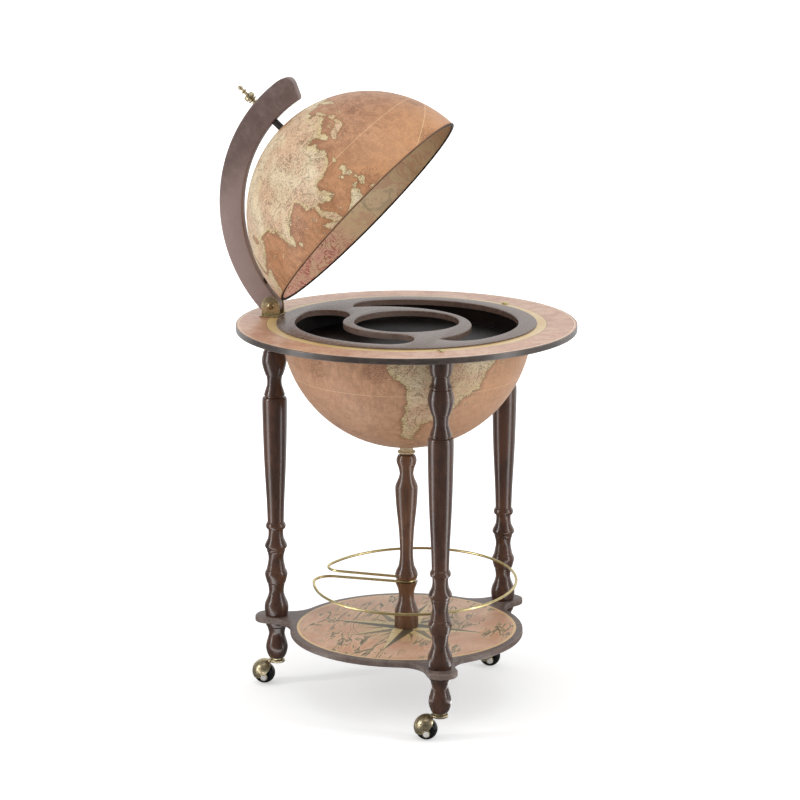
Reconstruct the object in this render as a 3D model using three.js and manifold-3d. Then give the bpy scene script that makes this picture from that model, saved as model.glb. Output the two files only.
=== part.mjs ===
// Floor globe bar: three turned legs carry a ring table and a shelf, half a globe hangs in the ring
// with a bottle tray in it, and the other half is the lid, on a wooden arm hinged at the back.
// Millimetres, +Z up, front towards -Y, hinge and back leg at +Y, globe axis on the Z axis.
import * as THREE from 'three';
import { mergeVertices } from 'three/addons/utils/BufferGeometryUtils.js';
import Module from 'manifold-3d';

const wasm = await Module();
wasm.setup();

// Clearances
const seatGap = 0.3; // between two pieces that bear on each other, and round a fixed shank
const runningGap = 0.1; // round a shaft that turns in its bore
const swingGap = 0.45; // between a moving piece and what it swings or turns past
const cutOverrun = 2; // how far a cutting solid runs past the face that it opens
const chordSag = 0.35; // how far a chord of a drawn arc may lie inside it
const samePoint = 0.01; // points of an outline closer than this are one

// Counts
const turnedSides = 12; // flats round a turned leg, foot or column
const globeSides = 40; // flats round the globe, ring and tray
const globeRings = 9; // bands from the globe's pole to its rim
const innerRings = 7; // the same on the inside of its wall
const smallSides = 10; // flats round screws, studs and nuts
const shaftSides = 16; // flats round a shaft that turns, and round its bore
const ballSides = 16; // flats round a caster's hood
const ballRings = 5; // bands over a caster's ball or hood
const cornerSteps = 3; // chords in a small drawn curve
const turningSteps = 1; // chords between two points of a turned stretch

// Ball and hood of a caster, which set how high its plate stands
const wheelRadius = 18;
const hoodRise = 3.5; // centre of the hood above the ball's
const hoodInnerGap = 1.9;
const hoodWall = 1;
const hornProud = 0.05; // top of the horn above the hood
const casterPlateThickness = 2.6;
const hoodInner = wheelRadius + hoodInnerGap;
const hoodOuter = hoodInner + hoodWall;

// Heights, from the floor up
const hornTop = wheelRadius + hoodRise + hoodOuter + hornProud;
const plateBase = hornTop + swingGap;
const casterHeight = plateBase + casterPlateThickness; // floor to the top of a caster's plate
const footHeight = 64.7;
const shelfThickness = 10;
const legLength = 509.4;
const ringThickness = 10;
const footBottom = casterHeight + seatGap;
const shelfUnderside = footBottom + footHeight + seatGap;
const shelfTop = shelfUnderside + shelfThickness;
const legBottom = shelfTop + seatGap;
const ringUnderside = legBottom + legLength + seatGap;
const ringTop = ringUnderside + ringThickness;

// The globe, and what lies round it from the lid outwards
const lidRadius = 200; // upper half of the globe, outside
const globeStep = 6; // lower half's radius beyond the lid's
const armClearance = 17.5; // lid to the arm's inner edge
const armWidth = 38.2; // arm's outer radius beyond its inner one
const pinPastArm = 13.9; // hinge pin beyond the arm's inner edge
const legsInsidePin = 1.4; // legs' axes nearer the globe's axis than the pin
const ringPastLegs = 50;
const shelfInsideLegs = 35; // shelf's round edge to the legs' axes
const railInsideShelf = 11; // rail to the shelf's round edge, where they lie nearest
const railForward = 15; // centre of the rail in front of the globe's axis, away from the hinge
const lowerGlobeRadius = lidRadius + globeStep;
const armInnerRadius = lidRadius + armClearance;
const armOuterRadius = armInnerRadius + armWidth;
const pinRadius = armInnerRadius + pinPastArm; // hinge pin to the globe's axis
const legCircleRadius = pinRadius - legsInsidePin;
const ringRadius = legCircleRadius + ringPastLegs;
const shelfDiscRadius = legCircleRadius - shelfInsideLegs;
const railRadius = shelfDiscRadius - railInsideShelf - railForward;

// Legs and feet
const legRadius = 21;
const footRadius = 19;
const legPlaces = [
  { name: 'back', angle: 90 },
  { name: 'front_left', angle: 210 },
  { name: 'front_right', angle: 330 },
];
const studRadius = 4;
const studInLeg = 30;
const studInFoot = 28;
const legScrewRadius = 3;
const legScrewInLeg = 40;
const legScrewHeadRadius = 6;
const legScrewHeadHeight = 3;

// Turned outline of a leg, from the shelf up. Each row is a smooth stretch between two sharp edges, in
// shares of the leg's length and of its largest radius.
const legTurningShares = [
  [[0, 0.89], [0.023, 0.962], [0.043, 0.91], [0.064, 0.705], [0.083, 0.597], [0.11, 0.676]],
  [[0.114, 0.75], [0.142, 0.91], [0.156, 0.82]],
  [[0.158, 0.77], [0.194, 0.61], [0.217, 0.68]],
  [[0.221, 0.73], [0.228, 0.745], [0.241, 0.905], [0.265, 0.657], [0.283, 0.6], [0.2965, 0.614]],
  [[0.3, 0.75], [0.309, 0.81], [0.318, 0.74]],
  [[0.321, 0.66], [0.391, 0.715], [0.545, 0.9], [0.716, 1], [0.745, 0.948]],
  [[0.748, 0.8], [0.752, 0.8]],
  [[0.754, 0.85], [0.77, 0.733], [0.786, 0.614], [0.803, 0.59], [0.818, 0.648]],
  [[0.82, 0.705], [0.8465, 0.914], [0.871, 1], [0.9, 0.852]],
  [[0.902, 0.79], [0.906, 0.79]],
  [[0.908, 0.88], [0.9225, 0.733], [0.9415, 0.69]],
  [[0.9455, 0.78], [0.965, 0.886], [1, 0.943]],
];

// Turned outline of a foot, from its underside up, in shares of its height and its largest radius
const footTurningShares = [
  [[0, 0.637], [0.05, 0.76], [0.16, 0.9], [0.29, 0.975], [0.42, 0.91], [0.57, 0.765], [0.68, 0.705], [0.84, 0.83]],
  [[0.88, 0.93], [0.93, 0.97], [1, 1]],
];

// Shelf
const tongueHalfWidth = 25;
const tongueReach = 36; // past the leg's axis
const tongueCornerRadius = 22;
const tongueBlendRadius = 45; // hollow corner between disc and tongue
const shelfEdgeRound = 1.5;

// Ring table
const ringEdgeRound = 1.2;

// Lower half of the globe, which hangs by its lip in a rebate of the ring
const lowerGlobeWall = 3;
const lowerLipWidth = 5;
const lowerLipThickness = 2;
const poleFlatRadius = 12; // flat on both faces of each half of the globe at its pole, for the fixings

// Bottle tray: a plate with three openings over a plain tub
const tubFlangeThickness = 1.5;
const tubWall = 2;
const tubInsideGlobe = 16; // tub's mouth inside the lower half's radius
const tubRadius = lowerGlobeRadius - tubInsideGlobe;
const tubTaper = 4; // how much the tub narrows on its way down
const trayDepth = 34; // plate's top to the tub's floor
const trayPlateThickness = 2; // at the flange
const trayEdgeDepth = 9; // of the moulded edges round the openings
const trayCover = 2.5; // how far the plate's flange reaches past the rebate
const trayTurn = -45; // direction of the middle of the bottle crescent, in degrees from +X
const bayTurn = 135; // and of the glasses bay
const wellsInsideTub = 7; // wells' outer edge inside the tub's mouth
const wellOuterRadius = tubRadius - wellsInsideTub;
const crescentInnerShare = 0.8251; // radius of the inner edge, as a share of the outer one
const crescentOffsetShare = 0.2787; // how far its centre lies behind the globe's axis, as a share of the same
const crescentInnerRadius = wellOuterRadius * crescentInnerShare;
const crescentInnerOffset = wellOuterRadius * crescentOffsetShare;
const bucketHoleShare = 0.469897; // of the wells' outer radius
const bayInnerShare = 0.57099; // of the same
const bucketHoleRadius = wellOuterRadius * bucketHoleShare;
const bayInnerRadius = wellOuterRadius * bayInnerShare;
const crescentTipAngle = 78.3; // half the inner edge's arc, at that centre, in degrees
const crescentOuterHalfAngle = 80; // half the outer edge's arc, at the globe's axis, in degrees
const crescentNoseShare = 0.995; // control point of the end's curve, as a share of the outer radius
const crescentNoseAngle = 93;
const bayHalfAngle = 50.5; // to the centre of the bay's round end, in degrees

// Centre column and bottle rail
const columnRadius = 20;
const rodRadius = 4;
const railAboveShelf = 81.4; // at the column
const railSlopeShare = 0.048; // how much the rail rises to the right, as a share of the way across
const wireRadius = 2.25;
const railSpigotRadius = 11;
const railCornerRadius = 26;
const loopSteps = 5; // chords in a quarter of the wire's loop round the spigot
const railSides = 6;
const bossHeight = 13.2;
const bossRadius = 11;
const bossDiscRadius = 15;
const bossDiscThickness = 2.5;
const washerRadius = 11;
const washerThickness = 1.5;
const nutAcrossFlats = 13;
const nutThickness = 6.5;
const rodEndPastNut = 3;

// Turned outlines of the column's two parts, in shares of each part's height and the column's radius
const columnUpperShares = [
  [[0, 0.87], [0.035, 0.945], [0.07, 0.835], [0.102, 0.67], [0.157, 0.575], [0.235, 0.55], [0.394, 0.65],
    [0.55, 0.83], [0.63, 0.905], [0.708, 0.95], [0.74, 0.935], [0.77, 0.81], [0.801, 0.67], [0.83, 0.595],
    [0.85, 0.6], [0.886, 0.685], [0.918, 0.81], [0.95, 0.85], [0.981, 0.725]],
  [[0.99, 0.5], [1, 0.5]],
];
const columnLowerShares = [
  [[0, 1.005], [0.25, 1.005], [0.37, 0.965], [0.485, 0.84], [0.6, 0.67], [0.715, 0.64], [0.835, 0.71], [0.95, 0.88],
    [1, 0.96]],
];

// Hinge: a bent plate with two cheeks on the ring, over the back leg
const openAngle = 48; // of the lid as it stands, in degrees
const pinAboveRing = 17;
const bracketPlate = 1.8;
const cheekThickness = 2.5;
const cheekHalfWidth = 15.7;
const bracketFlange = 13; // of the plate outside each cheek
const bracketScrewRadius = 2;
const bracketScrewHeadRadius = 3.8;
const bracketScrewHeadHeight = 1.6;
const bracketScrewLength = 8.5;
const bracketScrewInset = 5.5; // from the plate's edges
const hingeBoltRadius = 4;
const hingeBoltHeadRadius = 6.3;
const hingeBoltHeadHeight = 4;
const frictionWasherRadius = 9;
const frictionWasherThickness = 0.8;
const hingeNutLength = 6;

// Meridian arm, in the lid's closed place: measured from the globe's centre in the plane of the hinge
const armThickness = 18;
const armOuterBack = 5.2; // centre of the outer edge's arc, away from the hinge
const armOuterRise = 5.7; // and above the ring's top
const armInnerStart = 8; // where the inner edge's arc begins above the ring, in degrees
const armInnerEnd = 105.9; // where it ends, past the pole
const armEndLean = 116.6; // direction of the arm's end edge, in degrees
const armOuterCorner = 18; // how much of each edge the rounded outer corner takes
const armInnerCorner = 4;
const armEdgeRound = 1.5;

// Upper half of the globe, its edging and what holds it to the arm
const lidWall = 3;
const rimHeight = 2.2;
const rimProud = 0.6; // of the edging outside the shell
const rimInside = 1.6; // of the edging inside the shell
const finialLength = 38.5;
const finialRadius = 8.9;
const finialStudRadius = 3;
const sleeveRadius = 6;
const poleWasherRadius = 9;
const poleWasherThickness = 1.2;
const poleNutAcrossFlats = 10;
const poleNutThickness = 5;
const rimFixAngle = 14; // of the lower fixing above the rim, in degrees
const rimSpacerRadius = 5;
const rimScrewRadius = 2;
const rimScrewHeadRadius = 4.2;
const rimScrewHeadHeight = 2.2;
const rimScrewInArm = 18;

// Turned outline of the finial, from the arm outwards, in shares of its length and its largest radius
const finialShares = [
  [[0, 0.6], [0.05, 0.6]],
  [[0.07, 0.38], [0.12, 0.36]],
  [[0.14, 0.8], [0.165, 0.89], [0.19, 0.8]],
  [[0.2, 0.55], [0.235, 0.55]],
  [[0.25, 0.92], [0.3, 1], [0.4, 0.97], [0.43, 1], [0.45, 0.9]],
  [[0.46, 0.42], [0.52, 0.28]],
  [[0.55, 0.36], [0.58, 0.26]],
  [[0.62, 0.26], [0.66, 0.5], [0.7, 0.52], [0.73, 0.28]],
  [[0.79, 0.22], [0.83, 0.36], [0.9, 0.44], [0.97, 0.3], [1, 0.05]],
];

// Ball casters
const trailAngle = 104; // direction in which all three casters trail, in degrees from +X
const trail = 21.5; // swivel axis to the centre of the ball
const axleTilt = 10; // of the axle below level, on its capped side, in degrees
const wheelFront = 12; // wheel's face on the capped side, from the ball's centre along the axle
const wheelBack = 9; // wheel's other face
const wheelBossRadius = 5;
const axleRadius = 2;
const axleHeadRadius = 4.5;
const axleHeadThickness = 1.5;
const hoodTurn = 38; // of the hood's middle from the trail towards the capped side, in degrees
const hoodLift = 40; // of the hood's middle above level, in degrees
const hoodHalfAngle = 72; // from the hood's middle to its edge, in degrees
const earRadius = 6.2;
const earProud = 0.5;
const earInset = 2.2; // how far the ear reaches inside the hood
const capRadius = 4.9;
const capThickness = 1.6;
const stemRadius = 4;
const stemInFoot = 21;
const sleeveWall = 1.4;
const casterPlateRadius = 10.5;
const hornRadius = 13.5;
const hornThickness = 4.6;
const hornArmHalfWidth = 7;

const degrees = Math.PI / 180;
const globeCentre = ringTop;

// Materials

function finish(color, roughness, metalness) {
  return new THREE.MeshStandardMaterial({ color, roughness, metalness });
}

const darkWood = finish(0x3b2420, 0.3, 0);
const armWood = finish(0x5e4846, 0.45, 0);
const shelfBoard = finish(0x6b5751, 0.5, 0);
const printedBoard = finish(0xc8a68c, 0.6, 0);
const globePrint = finish(0xc09070, 0.45, 0);
const trayPlastic = finish(0x4a403f, 0.3, 0);
const edgeTrim = finish(0x2a1d18, 0.5, 0);
const paleWood = finish(0xc2ad8e, 0.5, 0);
const antiqueBrass = finish(0x8a7a58, 0.35, 1);
const brightBrass = finish(0xc9a75c, 0.2, 1);
const zincSteel = finish(0xa5a7a8, 0.4, 1);
const blackPlastic = finish(0x141313, 0.4, 0);
const wheelPlastic = finish(0x1a1a1c, 0.3, 0);
const capPlastic = finish(0xe6e3e0, 0.4, 0);

// Drawing and solid helpers

function point(x, y) {
  return new THREE.Vector2(x, y);
}

// Chords of an arc about a centre, from one angle to another in radians, both ends included
function arc(centreX, centreY, radius, from, to, steps) {
  const points = [];
  for (let i = 0; i <= steps; i += 1) {
    const angle = from + ((to - from) * i) / steps;
    points.push(point(centreX + radius * Math.cos(angle), centreY + radius * Math.sin(angle)));
  }
  return points;
}

// The same with as many chords as the sag asks for
function bend(centreX, centreY, radius, from, to) {
  const step = 2 * Math.acos(1 - chordSag / radius);
  return arc(centreX, centreY, radius, from, to, Math.ceil(Math.abs(to - from) / step));
}

// A small curve that leaves one point for another by way of a control point
function ease(from, control, to) {
  return new THREE.QuadraticBezierCurve(from, control, to).getPoints(cornerSteps);
}

// A closed outline from runs of points that share their ends
function closedOutline(...runs) {
  const places = runs.flat();
  return new THREE.Shape(places.filter((place, i) => place.distanceTo(places.at(i - 1)) > samePoint));
}

// A turned outline from stretches of shares, going up from a height
function turning(stretches, bottom, height, radius) {
  return stretches.flatMap((stretch) => {
    const places = stretch.map(([up, out]) => point(out * radius, bottom + up * height));
    return new THREE.SplineCurve(places).getPoints((places.length - 1) * turningSteps);
  });
}

// A solid of revolution about Z. The outline runs out from the axis, up and back to it, or closes on itself.
function lathe(outline, sides) {
  return new THREE.LatheGeometry(outline, sides).rotateX(Math.PI / 2);
}

// The same for a ring whose outline stays clear of the axis
function latheRing(outline, sides) {
  return lathe([...outline, outline[0].clone()], sides);
}

function disc(radius, bottom, top, sides) {
  return lathe([point(0, bottom), point(radius, bottom), point(radius, top), point(0, top)], sides);
}

function washer(radius, bore, bottom, top, sides) {
  return latheRing([point(bore, bottom), point(radius, bottom), point(radius, top), point(bore, top)], sides);
}

// A plain or bevelled slab of an outline, from one height up
function slab(shape, bottom, thickness, round = 0) {
  const geometry = new THREE.ExtrudeGeometry(shape, {
    depth: thickness - 2 * round,
    bevelEnabled: round > 0,
    bevelThickness: round,
    bevelSize: round,
    bevelOffset: -round,
    bevelSegments: 1,
  });
  return geometry.translate(0, 0, bottom + round);
}

function hexNut(acrossFlats, bore, bottom, thickness) {
  const shape = new THREE.Shape(arc(0, 0, acrossFlats / Math.sqrt(3), 0, (5 / 3) * Math.PI, 5));
  shape.holes.push(new THREE.Path(arc(0, 0, bore, 0, -2 * Math.PI * (1 - 1 / smallSides), smallSides - 1)));
  return slab(shape, bottom, thickness);
}

function toSolid(geometry) {
  const bare = geometry.clone();
  bare.deleteAttribute('normal');
  bare.deleteAttribute('uv');
  const merged = mergeVertices(bare);
  return new wasm.Manifold(new wasm.Mesh({
    numProp: 3,
    vertProperties: new Float32Array(merged.attributes.position.array),
    triVerts: new Uint32Array(merged.index.array),
  }));
}

function toGeometry(solid) {
  const mesh = solid.getMesh();
  const geometry = new THREE.BufferGeometry();
  geometry.setAttribute('position', new THREE.BufferAttribute(mesh.vertProperties, 3));
  geometry.setIndex(new THREE.BufferAttribute(mesh.triVerts, 1));
  geometry.computeVertexNormals();
  return geometry;
}

function cut(geometry, tools) {
  return toGeometry(tools.reduce((solid, tool) => solid.subtract(toSolid(tool)), toSolid(geometry)));
}

function join(geometries) {
  return toGeometry(geometries.map(toSolid).reduce((whole, solid) => whole.add(solid)));
}

// Turns a geometry made along +Z so that it runs along a direction
function aimed(geometry, direction) {
  const turn = new THREE.Quaternion().setFromUnitVectors(new THREE.Vector3(0, 0, 1), direction.clone().normalize());
  return geometry.applyQuaternion(turn);
}

function piece(parent, name, geometry, material) {
  const mesh = new THREE.Mesh(geometry, material);
  mesh.name = name;
  parent.add(mesh);
  return mesh;
}

function legSpot(place) {
  const angle = place.angle * degrees;
  return point(legCircleRadius * Math.cos(angle), legCircleRadius * Math.sin(angle));
}

const model = new THREE.Group();

// Shelf: a disc with a tongue to each leg
const blendSide = tongueHalfWidth + tongueBlendRadius;
const blendOut = Math.sqrt((shelfDiscRadius + tongueBlendRadius) ** 2 - blendSide ** 2);
const blendAngle = Math.atan2(blendSide, blendOut);
const cornerOut = legCircleRadius + tongueReach - tongueCornerRadius;
const cornerSide = tongueHalfWidth - tongueCornerRadius;
const betweenLegs = (2 * Math.PI) / legPlaces.length;
const tongue = [
  ...bend(0, 0, shelfDiscRadius, blendAngle - betweenLegs, -blendAngle),
  ...bend(blendOut, -blendSide, tongueBlendRadius, Math.PI - blendAngle, Math.PI / 2),
  ...bend(cornerOut, -cornerSide, tongueCornerRadius, -Math.PI / 2, 0),
  ...bend(cornerOut, cornerSide, tongueCornerRadius, 0, Math.PI / 2),
  ...bend(blendOut, blendSide, tongueBlendRadius, -Math.PI / 2, blendAngle - Math.PI),
];
const axis = point(0, 0);
const shelfShape = closedOutline(...legPlaces.map(
  (place) => tongue.map((spot) => spot.clone().rotateAround(axis, place.angle * degrees)),
));
const studHoles = legPlaces.map((place) => {
  const spot = legSpot(place);
  return disc(studRadius + seatGap, shelfUnderside - cutOverrun, shelfTop + cutOverrun, smallSides)
    .translate(spot.x, spot.y, 0);
});
const rodHole = disc(rodRadius + seatGap, shelfUnderside - cutOverrun, shelfTop + cutOverrun, smallSides);
const shelfSolid = slab(shelfShape, shelfUnderside, shelfThickness, shelfEdgeRound);
piece(model, 'shelf', cut(shelfSolid, [...studHoles, rodHole]), shelfBoard);

// Legs, feet and the studs and screws that hold them
const legTop = legBottom + legLength;
const studBore = studRadius + seatGap;
const screwBore = legScrewRadius + seatGap;
const socketBore = stemRadius + runningGap + sleeveWall + seatGap;
const socketTop = footBottom + stemInFoot + cutOverrun;
for (const place of legPlaces) {
  const spot = legSpot(place);
  const leg = lathe([
    point(0, legBottom + studInLeg + seatGap),
    point(studBore, legBottom + studInLeg + seatGap),
    point(studBore, legBottom),
    ...turning(legTurningShares, legBottom, legLength, legRadius),
    point(screwBore, legTop),
    point(screwBore, legTop - legScrewInLeg - seatGap),
    point(0, legTop - legScrewInLeg - seatGap),
  ], turnedSides);
  piece(model, `leg_${place.name}`, leg, darkWood).position.set(spot.x, spot.y, 0);
  const footTop = footBottom + footHeight;
  const foot = lathe([
    point(0, socketTop),
    point(socketBore, socketTop),
    point(socketBore, footBottom),
    ...turning(footTurningShares, footBottom, footHeight, footRadius),
    point(studBore, footTop),
    point(studBore, footTop - studInFoot - seatGap),
    point(0, footTop - studInFoot - seatGap),
  ], turnedSides);
  piece(model, `foot_${place.name}`, foot, darkWood).position.set(spot.x, spot.y, 0);
  const stud = disc(studRadius, shelfUnderside - studInFoot, shelfTop + studInLeg, smallSides);
  piece(model, `leg_stud_${place.name}`, stud, zincSteel).position.set(spot.x, spot.y, 0);
}

// Ring table: a board with a rebate for the globe's lip and the tub's flange
const ringHole = lowerGlobeRadius + seatGap;
const rebateRadius = lowerGlobeRadius + lowerLipWidth + seatGap;
const rebateFloor = ringTop - tubFlangeThickness - seatGap - lowerLipThickness - seatGap;
const ringBlank = latheRing([
  point(ringHole, ringUnderside),
  point(ringRadius - ringEdgeRound, ringUnderside),
  point(ringRadius, ringUnderside + ringEdgeRound),
  point(ringRadius, ringTop - ringEdgeRound),
  point(ringRadius - ringEdgeRound, ringTop),
  point(rebateRadius, ringTop),
  point(rebateRadius, rebateFloor),
  point(ringHole, rebateFloor),
], globeSides);
const legScrewHoles = legPlaces.map((place) => {
  const spot = legSpot(place);
  return disc(screwBore, ringUnderside - cutOverrun, ringTop + cutOverrun, smallSides).translate(spot.x, spot.y, 0);
});
const backSpot = legSpot(legPlaces[0]);
const flushDepth = legScrewHeadHeight + seatGap;
const flushPocket = disc(legScrewHeadRadius + seatGap, ringTop - flushDepth, ringTop + cutOverrun, smallSides)
  .translate(backSpot.x, backSpot.y, 0);
const cheekInner = armThickness / 2 + seatGap + frictionWasherThickness + seatGap;
const cheekOuter = cheekInner + cheekThickness;
const bracketHalfLength = cheekOuter + bracketFlange;
const bracketScrewX = bracketHalfLength - bracketScrewInset;
const bracketScrewY = cheekHalfWidth - bracketScrewInset;
const bracketScrewPlaces = [
  { name: 'front_left', x: -bracketScrewX, y: pinRadius - bracketScrewY },
  { name: 'front_right', x: bracketScrewX, y: pinRadius - bracketScrewY },
  { name: 'back_left', x: -bracketScrewX, y: pinRadius + bracketScrewY },
  { name: 'back_right', x: bracketScrewX, y: pinRadius + bracketScrewY },
];
const bracketPilots = bracketScrewPlaces.map((place) => disc(
  bracketScrewRadius + seatGap,
  ringTop - bracketScrewLength - seatGap,
  ringTop + cutOverrun,
  smallSides,
).translate(place.x, place.y, 0));
piece(model, 'ring_table', cut(ringBlank, [...legScrewHoles, flushPocket, ...bracketPilots]), printedBoard);

// A screw with its head on top and its shank below a height. A domed head has one band between its edge
// and its top, at these shares of the head's radius and height.
const domeOutShare = 0.62;
const domeUpShare = 0.75;
function screw(shank, length, head, headHeight, seat, domed) {
  const band = point(head * domeOutShare, seat + headHeight * domeUpShare);
  const crown = domed ? [band] : [point(head, seat + headHeight)];
  return lathe([
    point(0, seat - length),
    point(shank, seat - length),
    point(shank, seat),
    point(head, seat),
    ...crown,
    point(0, seat + headHeight),
  ], smallSides);
}
const legScrewReach = ringThickness + seatGap + legScrewInLeg;
for (const place of legPlaces.slice(1)) {
  const spot = legSpot(place);
  const seat = ringTop + seatGap;
  const domed = screw(legScrewRadius, legScrewReach, legScrewHeadRadius, legScrewHeadHeight, seat, true);
  piece(model, `leg_screw_${place.name}`, domed, brightBrass).position.set(spot.x, spot.y, 0);
}
const backSeat = ringTop - legScrewHeadHeight;
const backScrewReach = legScrewReach - flushDepth;
const backScrew = screw(legScrewRadius, backScrewReach, legScrewHeadRadius, legScrewHeadHeight, backSeat, false);
piece(model, 'leg_screw_back', backScrew, zincSteel).position.set(backSpot.x, backSpot.y, 0);

// Lower half of the globe
const lipBottom = rebateFloor + seatGap;
const lipTop = lipBottom + lowerLipThickness;
const lowerInner = lowerGlobeRadius - lowerGlobeWall;
const rodBore = rodRadius + seatGap;
const toPoleFlat = (radius) => Math.acos(poleFlatRadius / radius);
const poleFlat = (radius) => Math.sqrt(radius ** 2 - poleFlatRadius ** 2);
const belowRing = (height, radius) => -Math.asin((globeCentre - height) / radius);
const globeBottom = globeCentre - poleFlat(lowerGlobeRadius);
const innerBottom = globeCentre - poleFlat(lowerInner);
const lowerGlobe = latheRing([
  point(rodBore, globeBottom),
  ...arc(0, globeCentre, lowerGlobeRadius, -toPoleFlat(lowerGlobeRadius), belowRing(lipBottom, lowerGlobeRadius),
    globeRings),
  point(lowerGlobeRadius + lowerLipWidth, lipBottom),
  point(lowerGlobeRadius + lowerLipWidth, lipTop),
  ...arc(0, globeCentre, lowerInner, belowRing(lipTop, lowerInner), -toPoleFlat(lowerInner), innerRings),
  point(rodBore, innerBottom),
], globeSides);
piece(model, 'lower_hemisphere', lowerGlobe, globePrint);

// Tray tub: floor and wall under the plate
const tubFlangeBottom = lipTop + seatGap;
const tubFlangeTop = tubFlangeBottom + tubFlangeThickness;
const trayTop = ringTop + seatGap + trayPlateThickness;
const tubFloor = trayTop - trayDepth;
const tub = lathe([
  point(0, tubFloor - tubWall),
  point(tubRadius - tubTaper - tubWall, tubFloor - tubWall),
  point(tubRadius - tubTaper, tubFloor),
  point(tubRadius, tubFlangeBottom),
  point(lowerGlobeRadius + lowerLipWidth, tubFlangeBottom),
  point(lowerGlobeRadius + lowerLipWidth, tubFlangeTop),
  point(tubRadius - tubWall, tubFlangeTop),
  point(tubRadius - tubTaper - tubWall, tubFloor),
  point(0, tubFloor),
], globeSides);
piece(model, 'tray_tub', tub, trayPlastic);

// Tray plate: bucket hole in the middle, bottle crescent on one side and glasses bay on the other
const trayBodyRadius = tubRadius - tubWall - seatGap - tubTaper * (trayEdgeDepth / trayDepth);
const trayFlangeRadius = rebateRadius + trayCover;
const trayUnder = ringTop + seatGap;
const trayBlank = lathe([
  point(0, trayTop - trayEdgeDepth),
  point(trayBodyRadius, trayTop - trayEdgeDepth),
  point(trayBodyRadius, trayUnder),
  point(trayFlangeRadius, trayUnder),
  point(trayFlangeRadius, trayUnder + trayPlateThickness / 2),
  point(trayFlangeRadius - trayPlateThickness / 2, trayTop),
  point(0, trayTop),
], globeSides);

function onCircle(centre, radius, angle) {
  return point(centre.x + radius * Math.cos(angle), centre.y + radius * Math.sin(angle));
}

function crescent() {
  const tip = crescentTipAngle * degrees;
  const outer = crescentOuterHalfAngle * degrees;
  const nose = onCircle(axis, wellOuterRadius * crescentNoseShare, crescentNoseAngle * degrees);
  const outerRun = bend(0, 0, wellOuterRadius, -outer, outer);
  const innerRun = bend(-crescentInnerOffset, 0, crescentInnerRadius, tip, -tip);
  return closedOutline(
    outerRun,
    ease(outerRun.at(-1), nose, innerRun[0]),
    innerRun,
    ease(innerRun.at(-1), point(nose.x, -nose.y), outerRun[0]),
  );
}

function bay() {
  const half = bayHalfAngle * degrees;
  const end = (wellOuterRadius - bayInnerRadius) / 2;
  const middle = onCircle(axis, wellOuterRadius - end, half);
  return closedOutline(
    bend(0, 0, wellOuterRadius, -half, half),
    bend(middle.x, middle.y, end, half, half + Math.PI),
    bend(0, 0, bayInnerRadius, half, -half),
    bend(middle.x, -middle.y, end, Math.PI - half, 2 * Math.PI - half),
  );
}

function trayOpening(shape, turn) {
  const depth = trayEdgeDepth + 2 * cutOverrun;
  return slab(shape, trayTop - trayEdgeDepth - cutOverrun, depth).rotateZ(turn * degrees);
}
const bucketHole = disc(bucketHoleRadius, trayTop - trayEdgeDepth - cutOverrun, trayTop + cutOverrun, globeSides);
const trayPlate = cut(trayBlank, [
  bucketHole,
  trayOpening(crescent(), trayTurn),
  trayOpening(bay(), bayTurn),
]);
piece(model, 'tray_plate', trayPlate, trayPlastic);

// Boss under the globe, centre column, and the tie rod through them
const bossTop = globeBottom - seatGap;
const bossBottom = bossTop - bossHeight;
const boss = latheRing([
  point(rodBore, bossBottom),
  point(bossDiscRadius, bossBottom),
  point(bossDiscRadius, bossBottom + bossDiscThickness),
  point(bossRadius, bossBottom + bossDiscThickness),
  point(bossRadius, bossTop),
  point(rodBore, bossTop),
], turnedSides);
piece(model, 'south_boss', boss, paleWood);

const railHeight = shelfTop + railAboveShelf;
const upperBottom = railHeight + wireRadius + seatGap;
const upperTop = bossBottom - seatGap;
const columnUpper = latheRing([
  point(rodBore, upperBottom),
  ...turning(columnUpperShares, upperBottom, upperTop - upperBottom, columnRadius),
  point(rodBore, upperTop),
], turnedSides);
piece(model, 'column_upper', columnUpper, darkWood);

const lowerBottom = shelfTop + seatGap;
const lowerTop = railHeight - wireRadius - seatGap;
const columnLower = latheRing([
  point(rodBore, lowerBottom),
  ...turning(columnLowerShares, lowerBottom, lowerTop - lowerBottom, columnRadius),
  point(railSpigotRadius, lowerTop),
  point(railSpigotRadius, upperBottom - seatGap),
  point(rodBore, upperBottom - seatGap),
], turnedSides);
piece(model, 'column_lower', columnLower, darkWood);

const topWasherBottom = innerBottom + seatGap;
const topNutBottom = topWasherBottom + washerThickness + seatGap;
const bottomWasherTop = shelfUnderside - seatGap;
const bottomNutTop = bottomWasherTop - washerThickness - seatGap;
const rodTop = topNutBottom + nutThickness + rodEndPastNut;
const rodBottom = bottomNutTop - nutThickness - rodEndPastNut;
piece(model, 'column_rod', disc(rodRadius, rodBottom, rodTop, smallSides), zincSteel);
const rodEnds = [
  { name: 'top', washerBottom: topWasherBottom, nutBottom: topNutBottom },
  { name: 'bottom', washerBottom: bottomWasherTop - washerThickness, nutBottom: bottomNutTop - nutThickness },
];
for (const end of rodEnds) {
  const plain = washer(washerRadius, rodBore, end.washerBottom, end.washerBottom + washerThickness, turnedSides);
  piece(model, `column_washer_${end.name}`, plain, zincSteel);
  piece(model, `column_nut_${end.name}`, hexNut(nutAcrossFlats, rodBore, end.nutBottom, nutThickness), zincSteel);
}

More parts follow.
